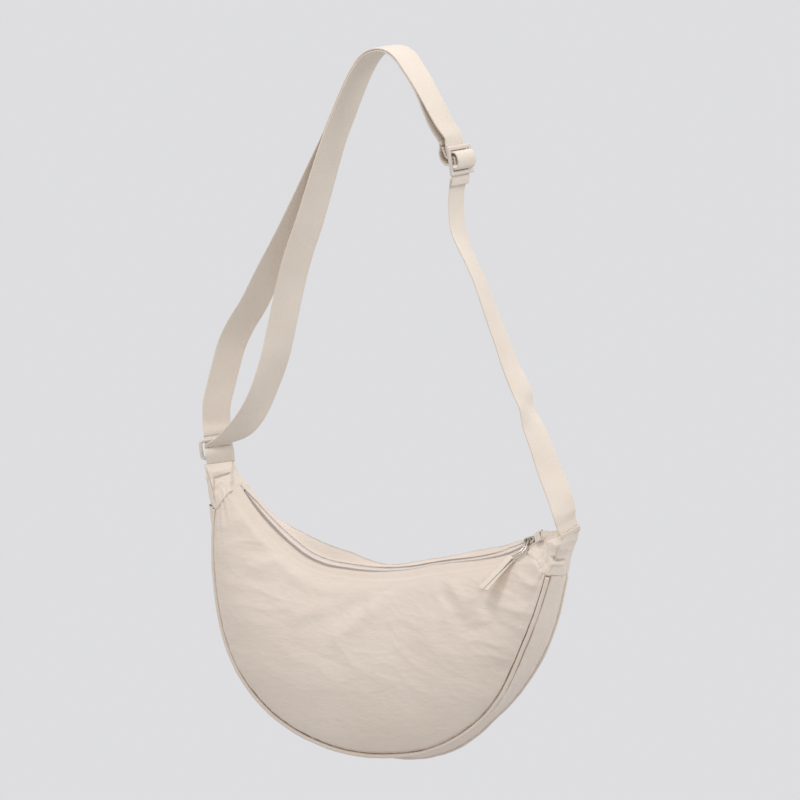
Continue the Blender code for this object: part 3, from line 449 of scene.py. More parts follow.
def nylon(name, light, dark, crinkle=1.0, rough=0.62, sheen=0.25):
    """Washed, crinkled nylon with a fine plain weave."""
    made, tree, shader = nodes_of(name)
    place = object_place(tree)
    flow = stretched(tree, place, (0.42, 1, 1), (0, math.radians(-9), 0))
    broad = noise_node(tree, place, 16, 4, 0.6)
    fine = noise_node(tree, flow, 170, 5, 0.62, 0.4)
    colour = mix_colour(tree, spread(tree, broad, 0.32, 0.68), dark, light)
    # Painted shade: darker in the hollows of the fine crinkle, whose noise is also bumped below,
    # and in the creases marked on the mesh
    colour = shade_by(tree, colour, spread(tree, fine, 0.42, 0.30, 0, 0.55), (0.95, 0.93, 0.90))
    colour = paint_shade_in_creases(tree, colour)
    lines = noise_node(tree, flow, 330, 3, 0.55, 0.8)
    grain = noise_node(tree, place, 1500, 2, 0.5)
    weave = cloth_place(tree)
    threads = [wave(tree, weave, direction, 0.00055) for direction in "XY"]
    woven = node(tree, "Math", operation="MULTIPLY")
    for thread, entry in zip(threads, woven.inputs):
        tree.links.new(thread, entry)
    bumps = bump_chain(tree, ((woven.outputs[0], 0.00002), (grain, 0.00003 * crinkle),
                              (lines, 0.00022 * crinkle), (fine, 0.0006 * crinkle)))
    fill(tree, shader, Base_Color=colour, Normal=bumps, Specular_IOR_Level=0.35,
         Roughness=spread(tree, broad, 0.3, 0.7, rough - 0.05, rough + 0.07),
         Sheen_Weight=sheen, Sheen_Roughness=0.45, Sheen_Tint=(1, 0.96, 0.92, 1))
    return made


def webbing(name, light, dark):
    """Woven tape with ribs along it. Its cloth place is across, along."""
    made, tree, shader = nodes_of(name)
    place = cloth_place(tree)
    broad = noise_node(tree, object_place(tree), 26, 4, 0.6)
    ribs = wave(tree, place, "X", 0.0021, 0.35)
    fine_ribs = wave(tree, place, "X", 0.00105)
    picks = wave(tree, place, "Y", 0.0009)
    fuzz = noise_node(tree, object_place(tree), 900, 3, 0.6)
    colour = mix_colour(tree, spread(tree, broad, 0.3, 0.7), dark, light)
    # Painted shade: darker in the grooves between the ribs and in the dips of the fuzz, which are
    # also bumped below
    colour = shade_by(tree, colour, spread(tree, ribs, 0.35, 0, 0, 0.32), (0.93, 0.91, 0.885))
    colour = shade_by(tree, colour, spread(tree, fuzz, 0.45, 0.30, 0, 0.5), (0.94, 0.92, 0.90))
    bumps = bump_chain(tree, ((fuzz, 0.00006), (picks, 0.00005), (fine_ribs, 0.00004),
                              (ribs, 0.00006)))
    fill(tree, shader, Base_Color=colour, Normal=bumps, Roughness=0.66, Specular_IOR_Level=0.35,
         Sheen_Weight=0.30, Sheen_Roughness=0.5, Sheen_Tint=(1, 0.97, 0.94, 1))
    return made


def zip_cloth(name, light, dark):
    """The knitted tape of the zip: a fine twill."""
    made, tree, shader = nodes_of(name)
    twill = stretched(tree, cloth_place(tree), turn=(0, 0, math.radians(35)))
    diagonal = wave(tree, twill, "X", 0.0011, 0.3)
    broad = noise_node(tree, object_place(tree), 40)
    colour = mix_colour(tree, spread(tree, broad, 0.3, 0.7), dark, light)
    # Painted shade: darker in the grooves of the twill, which is also bumped below, and where the
    # tape's painted shade values mark it
    colour = shade_by(tree, colour, spread(tree, diagonal, 0.4, 0, 0, 0.5), (0.94, 0.93, 0.91))
    fill(tree, shader, Base_Color=paint_shade_in_creases(tree, colour),
         Normal=bump_chain(tree, ((diagonal, 0.00006),)), Roughness=0.6, Specular_IOR_Level=0.3,
         Sheen_Weight=0.15)
    return made


def plastic(name, light, dark, rough):
    """Moulded plastic with a faint orange peel."""
    made, tree, shader = nodes_of(name)
    place = object_place(tree)
    broad = noise_node(tree, place, 90)
    peel = noise_node(tree, place, 1400, 2)
    fill(tree, shader, Base_Color=mix_colour(tree, spread(tree, broad, 0.3, 0.7), dark, light),
         Roughness=spread(tree, peel, 0.3, 0.7, rough - 0.06, rough + 0.08),
         Normal=bump_chain(tree, ((peel, 0.00003),)), Specular_IOR_Level=0.45)
    return made


def metal(name, light, dark):
    """Plated metal, brushed a little, duller and darker in patches."""
    made, tree, shader = nodes_of(name)
    place = object_place(tree)
    patches = noise_node(tree, place, 420, 4, 0.6)
    scratches = noise_node(tree, stretched(tree, place, (0.12, 1, 1)), 2600)
    fill(tree, shader, Metallic=1.0,
         Base_Color=mix_colour(tree, spread(tree, patches, 0.35, 0.65), dark, light),
         Roughness=spread(tree, patches, 0.3, 0.7, 0.22, 0.40),
         Normal=bump_chain(tree, ((scratches, 0.00002),)))
    return made


CLOTH = nylon("cream_crinkled_nylon", (0.80, 0.695, 0.605), (0.765, 0.655, 0.56))
CAP_CLOTH = nylon("cream_nylon_tab", (0.80, 0.70, 0.61), (0.75, 0.65, 0.555), 0.5, 0.42, 0.35)
BINDING = nylon("cream_seam_binding", (0.78, 0.68, 0.59), (0.74, 0.64, 0.55), 0.5)
LINING = nylon("pale_lining", (0.66, 0.58, 0.51), (0.61, 0.53, 0.46), 0.4, 0.7, 0.1)
STRAP = webbing("cream_webbing", (0.81, 0.72, 0.63), (0.775, 0.68, 0.585))
TAPE = zip_cloth("zip_tape_cloth", (0.82, 0.745, 0.69), (0.78, 0.705, 0.65))
COIL = plastic("zip_coil_nylon", (0.72, 0.65, 0.58), (0.66, 0.59, 0.52), 0.35)
BUCKLE = plastic("cream_buckle", (0.74, 0.66, 0.585), (0.70, 0.62, 0.55), 0.36)
NICKEL = metal("dark_nickel", (0.64, 0.585, 0.52), (0.42, 0.38, 0.335))
PALE_WIRE = metal("pale_nickel", (0.78, 0.73, 0.66), (0.60, 0.55, 0.49))
THREAD = nylon("cream_thread", (0.78, 0.70, 0.63), (0.74, 0.66, 0.59), 0.3, 0.55, 0.3)


# Zip geometry in the bag's frame

def zip_grid(angle, across, above):
    """Points by angle along the zip, distance across its band and height above it."""
    angle, across, above = np.broadcast_arrays(angle, across, above)
    outward = points_of(np.sin(angle), 0, -np.cos(angle))
    radius = np.asarray(ZIP_RADIUS + glide(np.degrees(angle), ZIP_SAG) * MM)
    return (ZIP_CENTRE + outward * radius[..., None]
            + (BACK - outward) * BAND_SLOPE * across[..., None]
            - (BACK + outward) * BAND_SLOPE * above[..., None])


def zip_angle(u):
    return (ZIP_ENDS[0] + ZIP_ENDS[1]) / 2 + u * (ZIP_ENDS[1] - ZIP_ENDS[0]) / 2


def zip_frame(angle, above=0.0):
    """World matrix on the arc: X along the zip, Y across it, Z out of its band."""
    outward = Vector((math.sin(angle), 0, -math.cos(angle)))
    along = Vector((math.cos(angle), 0, math.sin(angle)))
    back = Vector(BACK)
    normal = (-back - outward) * BAND_SLOPE
    origin = Vector(ZIP_CENTRE) + outward * ZIP_RADIUS + normal * above
    return BAG @ placed((along, (back - outward) * BAND_SLOPE, normal), origin)


def back_lift(angle):
    """The way in which the back edge of the mouth is lifted at an angle, and how far."""
    upward = points_of(-np.sin(angle), 0, np.cos(angle))
    return upward, glide(np.degrees(angle), BACK_LIFT) * MM


def lip_across(angle, side):
    """Distance of a turned edge from the zip's middle; the back one comes closer at the right."""
    degrees = np.degrees(angle)
    lip = glide(degrees, LIP_OUT) * MM
    return lip if side < 0 else np.minimum(lip, glide(degrees, BACK_LIP_MOST) * MM)


def back_shift(angle, across):
    """How far the back half of the mouth hangs over or under its band, by place across it."""
    upward, lift = back_lift(angle)
    share = np.clip((SHELF_OUT - across) / (SHELF_OUT - lip_across(angle, 1)), 0, 1)
    return upward, lift * (1.0 - fade(share, 0, 0.9))


# Bag body in the bag's frame

def outline(u, inset=0.0):
    angle = np.asarray(u) * math.pi / 2
    across = (HALF_WIDTH - inset) * np.sin(angle)
    down = (DROP - inset) * np.maximum(0, np.cos(angle)) ** (2 / OUTLINE_POWER)
    return points_of(across, 0, -down)


def outline_normal(u):
    ahead = outline(np.minimum(1, u + 0.01)) - outline(np.maximum(-1, u - 0.01))
    return unit(points_of(ahead[..., 2], 0, -ahead[..., 0]))


def gusset_half(u):
    return GUSSET_HALF_LOW + (GUSSET_HALF_END - GUSSET_HALF_LOW) * np.abs(u) ** 2.5


def seam_push(u, a):
    """Where the seams hang outside the plain outline, from the front one (a -1) to the back (1)."""
    amount = (glide(u, FRONT_PUSH) * (1 - a) + glide(u, BACK_PUSH) * (1 + a)) / 2 * MM
    return outline_normal(np.asarray(u, float)) * amount[..., None]


def panel_surface(u, height, side, inset=0.0, clear=SEAM_CLEAR, top_across=SHELF_OUT,
                  top_above=0.0):
    """Points of a panel between its seam (height 0) and the outer edge of the zip band (1)."""
    low = outline(u, inset) - outline_normal(u) * clear + seam_push(u, side)
    top = zip_grid(zip_angle(u), side * top_across, top_above)
    place = low + (top - low) * height[..., None]
    seam_y = side * (gusset_half(u) - inset)
    depth = top[..., 1] + (seam_y - top[..., 1]) * (1.0 - height ** 2.2)
    swell = np.sin(np.pi * height ** 0.8).clip(0, 1) ** 0.9
    belly = (FRONT_BELLY if side < 0 else BACK_BELLY) * swell
    place[..., 1] = depth + side * belly * (1.0 - np.abs(u) ** 3)
    return place


def crinkles(grid, u, height, side):
    """The crinkle of washed nylon: how far each point of a panel moves out, in metres."""
    x, z = grid[..., 0] / MM, grid[..., 2] / MM
    turn = np.radians(-4.0 - 8.0 * fade(x, -60, 60))
    along = x * np.cos(turn) + z * np.sin(turn)
    cross = -x * np.sin(turn) + z * np.cos(turn)
    place = points_of(along, cross, 40.0 * side)
    place[..., 1] += ripple(place, (60, 45, 1), 3) * 7.0
    busy = 0.22 + 0.78 * fade(z, -160, -50) * (0.7 + 0.3 * fade(x, -110, 20))
    total = ((0.6 + 0.5 * busy) * ripple(place, (62, 34, 1), 5)
             + (0.46 * crumple(place, (36, 16, 1), 8) + 0.15 * crumple(place, (17, 6.5, 1), 11)
                + 0.055 * ripple(place, (8, 3, 1), 17)) * busy)
    for fold in FRONT_FOLDS if side < 0 else BACK_FOLDS:
        total += fold_height(x, z, fold, 0.10, 0.28)
    # Puckers along the sewn edges
    low = np.exp(-(height / 0.055) ** 2)
    run = points_of(u * 250.0, height * 60.0, side * 9.0)
    total = total * (1.0 - 0.75 * low) + 0.45 * low * ripple(run, (6, 20, 1), 21)
    gather = points_of(height * 60.0, u * 60.0, side * 5.0)
    total += 0.9 * fade(np.abs(u), 0.80, 0.99) * ripple(gather, (7.5, 12, 1), 29)
    return total * MM


def panel_grid(side, columns, rows):
    """The outer face of a panel, with its edges turned in at the seam and at the zip."""
    u = np.linspace(-1.0, 1.0, columns)
    uu, hh = np.meshgrid(u, np.linspace(0.0, 1.0, rows) ** 1.15)
    body = panel_surface(uu, hh, side)
    angle = zip_angle(u)
    lip_out = lip_across(angle, side)
    lip_rise = glide(np.degrees(angle), LIP_RISE) * MM * (1.0 if side < 0 else 0.15)
    steps = np.linspace(0.0, 1.0, 13)[1:, None]
    shelf = zip_grid(angle[None, :], side * (SHELF_OUT + (lip_out - SHELF_OUT) * steps),
                     lip_rise * fade(steps, 0.1, 0.95))
    if side > 0:
        upward, lift = back_lift(angle)
        upward = upward * lift[:, None]
        body = body + upward * (hh ** 3)[..., None]
        shelf = shelf + upward * (1.0 - fade(steps, 0, 0.9))[..., None]
    grid = np.concatenate((body, shelf))
    heights = np.concatenate((hh, np.ones((len(steps), columns))))
    uu = np.concatenate((uu, np.tile(u, (len(steps), 1))))
    normals = grid_normals(grid)
    if normals[rows // 2, columns // 2, 1] * side < 0:
        normals = -normals
    # Crinkles fade towards the bend between panel and band, where the edge takes over
    calm = 1.0 - fade(heights, 0.90, 0.99)
    move = (crinkles(grid, uu, heights, side) + 0.0015 * fade(heights, 0, 0.022)) * calm
    edge_wave = ripple(points_of(uu * 140.0, heights, 0), (9, 1, 1), 33 + side) * 0.25 * MM
    move += edge_wave * (1.0 - calm)
    bend = np.exp(-((heights - 1.0) / 0.03) ** 2) * 0.0006
    grid = grid + normals * (move - bend)[..., None]
    if side < 0:
        under = fade(uu - glide(heights, TAB_SEAM), -0.004, 0.022)
        grid[..., 1] += 0.0035 * under
        grid[..., 0] -= 0.0012 * under
    # Turned edges at the seam and at the zip
    out = outline_normal(u)
    rolls = [grid[0] + out * 0.0010 - BACK * side * 0.0022,
             grid[0] + out * 0.0007 - BACK * side * 0.0009]
    lip = [zip_grid(angle, side * (lip_out + away), lip_rise + above) for away, above in
           ((-0.0002, -0.00008), (-0.00028, -0.0002), (-0.0002, -0.0004), (0.0002, -0.0005),
            (0.0012, -0.0007))]
    lip.append(zip_grid(angle, side * (lip_out + 0.0030), -0.0010))
    lip_move = normals[-1] * edge_wave[-1][:, None]
    return np.concatenate((np.stack(rolls), grid, np.stack([row + lip_move for row in lip])))


def add_panels():
    for name, replaced, side, columns, rows in (("front_body", "front_panel", -1, 300, 150),
                                                ("back_body", "back_panel", 1, 260, 120)):
        add_grid(name, panel_grid(side, columns, rows), CLOTH, "bag", (0, side, 0),
                 replaced)


def gusset_points(inset, clear, columns, rows, wrinkle):
    u = np.linspace(-1.0, 1.0, columns)
    uu, aa = np.meshgrid(u, np.sin(np.linspace(-1.0, 1.0, rows) * math.pi / 2))
    crown = (GUSSET_CROWN * (1.0 - np.abs(uu) ** 4) + glide(uu, END_BULGE) * MM) * (1.0 - aa ** 2)
    if wrinkle:
        place = points_of(uu * 250.0, aa * 28.0, 0)
        edge = np.exp(-((1.0 - np.abs(aa)) / 0.22) ** 2)
        crown += 0.0012 * fade(1.0 - np.abs(aa), 0, 0.10) + (
            0.45 * ripple(place, (30, 22, 1), 41) + 0.22 * crumple(place, (14, 9, 1), 43)
            + 0.12 * crumple(place, (6, 5, 1), 47)
            + 0.35 * edge * ripple(place, (5, 14, 1), 49)) * MM
    point = outline(uu, inset) + outline_normal(uu) * crown[..., None] + seam_push(uu, aa)
    point[..., 1] = aa * (gusset_half(uu) - clear - inset)
    return point, outline_normal(u)


def add_gussets():
    columns = 420
    point, out = gusset_points(0.0, SEAM_CLEAR, columns, 36, True)
    rolls = [[row - out * deep + BACK * side * aside
              for deep, aside in ((0.0020, 0.0010), (0.0008, 0.0007))]
             for row, side in ((point[0], -1), (point[-1], 1))]
    grid = np.concatenate((rolls[0], point, rolls[1][::-1]))
    # Painted shade along both seams of the gusset, full within 3.8 mm of the seam and gone by 5.4
    # mm
    from_seam = np.abs(np.abs(grid[..., 1]) - gusset_half(np.linspace(-1.0, 1.0, columns)))
    add_grid("side_gusset", grid, CLOTH, "bag", (0, 0, -1), "gusset",
             1.0 - fade(from_seam, 0.0038, 0.0054))
    point, _ = gusset_points(LINING_INSET, 0.0, 90, 7, False)
    add_grid("inner_gusset", point, LINING, "bag", (0, 0, 1), "lining_gusset")


def tube(path, radii, sides, guide, oval=1.0, closed=False):
    """Rings of points round a path, in an oval that is longer along the guide's direction."""
    path, guide = np.asarray(path, float), np.asarray(guide, float)
    ahead = np.gradient(path, axis=0)
    if closed:
        ahead = np.roll(path, -1, axis=0) - np.roll(path, 1, axis=0)
    along = unit(ahead)
    side = unit(guide - along * np.sum(guide * along, -1, keepdims=True))
    other = np.cross(along, side)
    turn = (np.arange(sides) * 2 * math.pi / sides)[None, :, None]
    radii = np.broadcast_to(radii, (len(path),))[:, None, None]
    return (path[:, None] + side[:, None] * (np.cos(turn) * oval * radii)
            + other[:, None] * (np.sin(turn) * radii))


def add_tube(name, path, radii, sides, look, body, replaced, guide=BACK, closed=False):
    grid = tube(path, radii, sides, guide, 1.0, closed)
    rows = len(grid)
    faces = shell_faces(rows, sides)
    if closed:
        last = (rows - 1) * sides
        faces[-2:] = [(last + i, last + (i + 1) % sides, (i + 1) % sides, i) for i in range(sides)]
    cloth = np.zeros(grid.shape)
    cloth[..., 0] = np.arange(sides) * (2 * math.pi / sides) * np.mean(radii)
    cloth[..., 1] = lengths_along(path)[:, None]
    return add_object(name, grid, faces, look, body, replaced, cloth)


def add_seams():
    u = np.linspace(-0.998, 0.998, 560)
    out = outline_normal(u)
    for name, replaced, side in (("front_piping", "front_seam_binding", -1),
                                 ("back_piping", "back_seam_binding", 1)):
        path = outline(u) + out * 0.0001 + seam_push(u, side)
        path[:, 1] = side * gusset_half(u)
        place = points_of(u * 250.0, 0, side)
        radii = (PIPING_RADIUS + 0.00012 * ripple(place, (3.4, 1, 1), 51)
                 + 0.0001 * ripple(place, (12, 1, 1), 53))
        path = path + out * (0.25 * MM * ripple(place, (9, 1, 1), 55))[:, None]
        add_tube(name, to_world(path), radii, 12, BINDING, "bag", replaced)


def lining_surface(uu, hh, side):
    return panel_surface(uu, hh, side, LINING_INSET, LINING_CLEAR, LINING_TOP, COIL_TOP - GAP)


def add_linings():
    uu, hh = np.meshgrid(np.linspace(-0.97, 0.97, 60), np.linspace(0.0, 1.0, 24))
    for name, replaced, side in (("inner_front", "lining_front", -1),
                                 ("inner_back", "lining_back", 1)):
        grid = lining_surface(uu, hh, side)
        sag = 0.6 * ripple(grid / MM, (30, 30, 24), 61) * np.sin(np.pi * hh) * MM
        grid[..., 1] -= side * np.abs(sag)
        if side > 0:
            upward, amount = back_shift(zip_angle(uu), LINING_TOP)
            grid += upward * (np.minimum(amount - 0.0006, 0) * hh ** 3)[..., None]
        add_grid(name, grid, LINING, "bag", (0, -side, 0), replaced)
    uu, hh = np.meshgrid(np.linspace(-POCKET_SPAN, POCKET_SPAN, 40),
                         np.linspace(POCKET_LOW, POCKET_HIGH, 20))
    grid = lining_surface(uu, hh, 1)
    grid[..., 1] -= POCKET_OFF
    add_grid("inner_pocket", grid, LINING, "bag", (0, -1, 0), "slip_pocket")


# Zip

MIDDLE_ANGLE = math.radians(2.0)
BLEND_END = SLIDER_REST - 0.03
# The cross-section of a tape: edge roll, coil bulge, flat part under the lip
TAPE_PROFILE = ((0.00022, -0.0007), (0.00020, -0.0002), (0.0006, 0.00012), (0.0014, 0.00020),
                (0.0022, 0.00012), (0.0030, 0.0002), (0.0036, 0.00065), (0.0046, 0.0007),
                (0.0060, 0.0002), (0.0072, -0.00012))
COIL_STEPS = 10


def zip_mark(angle):
    return tuple(to_world(zip_grid(angle, 0.0, TAPE_TOP)))


def blend_half(obj, half):
    """Bakes the half's placing into its mesh; the marks at its end and at the zip's middle are
    worked out but not used.
    """
    end = ZIP_ENDS[0] if half < 0 else BLEND_END
    zip_mark(end)
    zip_mark(MIDDLE_ANGLE)
    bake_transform(obj)


def add_tape(side, side_name, half, half_name):
    """One half of a tape."""
    ends = (ZIP_ENDS[0] * 0.997, MIDDLE_ANGLE) if half < 0 else (MIDDLE_ANGLE, ZIP_ENDS[1])
    angle = np.linspace(*ends, 150)
    place = points_of(angle / math.radians(1) * 3.77, 0, 0)
    flow = ripple(place, (14, 1, 1), 71 + side) * 0.00016
    part = fade(angle, SLIDER_REST + 0.004, SLIDER_REST + 0.02) * 0.0012
    rows = [zip_grid(angle, side * (across + part), TAPE_TOP + above + flow)
            for across, above in TAPE_PROFILE]
    # Painted shade: rows of the front tape are darkened, for the dark line along the front edge of
    # the mouth
    shade = np.zeros((len(rows), len(angle)))
    if side < 0:
        shade[2:5] = 1.0
    else:
        for row, (across, _) in zip(rows, TAPE_PROFILE):
            upward, amount = back_shift(angle, across)
            row += upward * np.minimum(amount, 0)[:, None]
    obj = add_grid(f"zip_tape_{side_name}_{half_name}", np.stack(rows), TAPE, None,
                   axis_of(zip_frame(0.0), 2), f"zip_tape_{side_name}", shade)
    blend_half(obj, half)


def add_coil(side, side_name, half, half_name):
    """One half of a row of nylon coil under the edge of its tape."""
    first, last = STOPS[0] + 0.004 / ZIP_RADIUS, SLIDER_REST - 0.001 / ZIP_RADIUS
    begin, end = (first, MIDDLE_ANGLE) if half < 0 else (MIDDLE_ANGLE, last)
    pitch = COIL_PITCH / ZIP_RADIUS
    t = np.arange(int((end - begin) / pitch) * COIL_STEPS + 1) / COIL_STEPS
    phase = t * 2 * math.pi
    path = zip_grid(begin + t * pitch + (0.0 if side < 0 else pitch / 2),
                    side * (0.0013 - 0.0017 * np.cos(phase)),
                    COIL_TOP - 0.0010 + 0.00055 * np.sin(phase))
    obj = add_tube(f"zip_coil_{side_name}_{half_name}", to_world(path), COIL_WIRE, 5, COIL, None,
                   f"zip_teeth_{side_name}", axis_of(zip_frame(0.0), 0))
    blend_half(obj, half)


def add_tapes():
    for side, side_name in ((-1, "front"), (1, "back")):
        for half, half_name in ((-1, "left"), (1, "right")):
            add_tape(side, side_name, half, half_name)
            add_coil(side, side_name, half, half_name)


def solid_plate(ring, low, high, matrix, soften):
    """Points and faces of a plate with rounded rims, from its outline and two levels."""
    ring = np.array(ring, float)
    away = ring - ring.mean(axis=0)
    points = []
    for level, inset in ((low, soften), (low + soften * 0.3, soften * 0.3), (low + soften, 0.0),
                         (high - soften, 0.0), (high - soften * 0.3, soften * 0.3),
                         (high, soften)):
        flat = ring - away * inset / np.linalg.norm(away, axis=-1, keepdims=True)
        points += [(x, y, level) for x, y in flat]
    return to_world(points, matrix), shell_faces(6, len(ring))


def add_parts(name, parts, look, body, replaced):
    """One piece from several closed shells."""
    points, faces = [], []
    for part_points, part_faces in parts:
        faces += [tuple(len(points) + i for i in face) for face in part_faces]
        points += np.asarray(part_points).reshape(-1, 3).tolist()
    return add_object(name, points, faces, look, body, replaced, points)


def round_outline(corners, radius, steps=5):
    """A polygon with its corners rounded by arcs."""
    corners = np.array(corners, float)
    made = []
    for i, corner in enumerate(corners):
        a, b = (corner + unit(other - corner) * min(radius, np.linalg.norm(other - corner) / 2.01)
                for other in (corners[i - 1], corners[(i + 1) % len(corners)]))
        for t in np.arange(steps + 1) / steps:
            made.append((1 - t) ** 2 * a + 2 * t * (1 - t) * corner + t * t * b)
    return made


def split_loop(points, step):
    """The points of a closed line and more between them, at least a step apart."""
    fine = []
    for a, b in zip(points, points[1:] + points[:1]):
        pieces = max(1, int(np.linalg.norm(b - a) / step))
        fine += [a + (b - a) * i / pieces for i in range(pieces)]
    return np.array(fine)


def add_slider():
    """Two plates with side rims on a post, and an arched bridge for the pull."""
    matrix = zip_frame(SLIDER_REST)
    top, low = TAPE_TOP + GAP, COIL_TOP - COIL_THICK - GAP
    long, half = SLIDER_LONG / 2, SLIDER_HALF
    edge = ((-long, 0.62 * half), (-long * 0.2, half), (long * 0.5, half), (long, 0.35 * half))
    ring = round_outline([(x, -y) for x, y in edge] + list(edge[::-1]), 0.0016)
    post = round_outline(((long - 0.003, -0.0009), (long - 0.0004, -0.0009),
                          (long - 0.0004, 0.0009), (long - 0.003, 0.0009)), 0.0006, 3)
    turns = np.linspace(0.0, math.pi, 17)
    foot = top + SLIDER_PLATE - BRIDGE_SUNK
    arch = [(BRIDGE_HALF_LONG * math.cos(turn), 0.0,
             foot + BRIDGE_RISE * max(0.0, math.sin(turn)) ** 0.7) for turn in turns]
    bar = tube(to_world(arch, matrix), BRIDGE_WIRE, 10, axis_of(matrix, 1), 1.25)
    parts = [solid_plate(ring, top, top + SLIDER_PLATE, matrix, 0.00035),
             solid_plate(ring, low - SLIDER_PLATE, low, matrix, 0.00035),
             solid_plate(post, low - GAP, top + GAP, matrix, 0.0001),
             (bar, shell_faces(17, 10))]
    add_parts("zip_slider_body", parts, NICKEL, "slider", "zip_slider")


def pull_matrix():
    """X across the pull, Y down its length, Z out of the band, at the hole of the bridge."""
    base = zip_frame(SLIDER_REST, TAPE_TOP + GAP + SLIDER_PLATE + BRIDGE_HOLE_HIGH / 2)
    along, cross, normal = (base.to_3x3().col[i].copy() for i in range(3))
    flat = -along * math.cos(PULL_SKEW) - cross * math.sin(PULL_SKEW)
    across = flat.cross(normal)
    down = flat * math.cos(PULL_LIFT) + normal * math.sin(PULL_LIFT)
    return placed((across, down, across.cross(down)), base.translation)


def add_pull():
    """A bent wire loop through the bridge, and a strip folded over its end in two leaves."""
    matrix = pull_matrix()
    half, low, length = PULL_RING_TOP_HALF, PULL_RING_LOW_HALF, PULL_RING_LONG
    corners = ((-half, 0), (half, 0), (low, length), (-low, length))
    ring = round_outline(corners, PULL_CORNER, 6)
    loop = split_loop([np.array((*p, 0.0)) for p in ring], 0.0012)
    loop[:, 0] += PULL_SWAY * np.sin(np.pi * np.clip(loop[:, 1] / length, 0, 1)) ** 1.5
    add_tube("zip_pull_wire", to_world(loop, matrix), PULL_WIRE, 12, PALE_WIRE, "pull_ring",
             "zip_pull_ring", axis_of(matrix, 2), True)
    bend = PULL_WIRE + 0.0002 + PULL_TAB_THICK / 2
    long = PULL_TAB_LONG + PULL_TAB_LONGER
    leaves = []
    for side, reach in ((1, long), (-1, long * 0.985)):
        leaves.append([(side * PULL_SPREAD * share, reach * share,
                        side * (bend + (0.0006 - bend) * fade(share, 0, 0.5)))
                       for share in (0.2, 0.4, 0.6, 0.8, 1.0)])
    fold = [(0.0, -bend * math.sin(turn), bend * math.cos(turn))
            for turn in np.linspace(0.0, math.pi, 9)]
    tab = matrix @ Matrix.Translation((0.0, PULL_RING_LONG, 0.0))
    points = [tab @ Vector(p) for p in leaves[0][::-1] + fold + leaves[1]]
    add_band("zip_pull_strip", level_band(points, tab.to_3x3().col[0], 0.0010), "pull_tab",
             "zip_pull_tab", PULL_TAB_WIDE, PULL_TAB_THICK, cup=0.0)


def add_stops():
    """Dense rows of thread that close the zip at its two ends."""
    for name, replaced, angle, (start, end), rows, level in (
            ("left_bartack", "zip_stop_left", STOPS[0], (-0.0012, 0.0012), 5, TAPE_TOP + GAP),
            ("right_bartack", "zip_stop_right", STOPS[1], (-0.0100, 0.0020), 8, 0.0016)):
        matrix = zip_frame(angle)
        parts = []
        for row in range(rows):
            path = [((row - (rows - 1) / 2) * THREAD_APART, start + (end - start) * t,
                     level + 0.0005 * math.sin(math.pi * t)) for t in np.linspace(0.0, 1.0, 9)]
            ring = tube(to_world(path, matrix), THREAD_WIRE, 6, axis_of(matrix, 0))
            parts.append((ring, shell_faces(9, 6)))
        add_parts(name, parts, THREAD, "bag", replaced)


# Strap

ROUTE_STEP = 0.0025
# Half of the section of webbing, from its edge inwards, in halves of its width and thickness
HALF_EDGE = ((1, 0), (0.993, 0.55), (0.975, 0.9), (0.94, 1), (0.86, 1), (0.6, 1), (0.3, 1))
EDGE = [(-a, b) for a, b in HALF_EDGE] + [(0, 1), *HALF_EDGE[::-1]]
BAND_SECTION = np.array(EDGE + [(a, -b) for a, b in EDGE[-2:0:-1]], float)


def width_direction(heading, lift):
    heading, lift = math.radians(heading), math.radians(lift)
    flat = Vector((math.sin(heading), math.cos(heading), 0)) * math.cos(lift)
    return flat + Vector((0, 0, math.sin(lift)))


def stations(entries):
    return ([Vector(entry[:3]) * MM for entry in entries],
            [width_direction(*entry[3:]) for entry in entries])


def smooth_path(points, counts):
    """Catmull-Rom points through the given ones, with a number of steps for each stretch."""
    ends = [2 * points[0] - points[1], *points, 2 * points[-1] - points[-2]]
    fine = []
    for a, b, c, d, pieces in zip(ends, ends[1:], ends[2:], ends[3:], counts):
        for piece in range(pieces):
            t = piece / pieces
            fine.append(0.5 * (2 * b + (c - a) * t + (2 * a - 5 * b + 4 * c - d) * t * t
                               + (3 * b - a - 3 * c + d) * t * t * t))
    fine.append(points[-1])
    return fine


def step_counts(points, step=ROUTE_STEP):
    return [max(1, round((b - a).length / step)) for a, b in zip(points, points[1:])]


def sweep(points, widths, step=ROUTE_STEP):
    """The smooth route through the points, with the width directions carried along it."""
    counts = step_counts(points, step)
    return smooth_path(points, counts), smooth_path(widths, counts)


def sections(points, widths, skew=0.0):
    """At each point of a band: the point, the way its width points and the way its face points.

    The sections are square to the route, but over the first length skew they keep their width's
    direction, as webbing does where it is drawn sideways.
    """
    made = []
    run = 0.0
    for i, (point, across) in enumerate(zip(points, widths)):
        before, after = points[max(i - 1, 0)], points[min(i + 1, len(points) - 1)]
        run += (point - before).length
        along = (after - before).normalized()
        square = (across - across.dot(along) * along).normalized()
        share = min(1.0, max(0.0, (skew - run) / SKEW_FADE))
        side = square.lerp(across.normalized(), share).normalized()
        made.append((point, side, along.cross(side).normalized()))
    return made


def level_band(points, width, step):
    """Sections of a band whose width points one way all along."""
    return sections(*sweep(points, [width] * len(points), step))


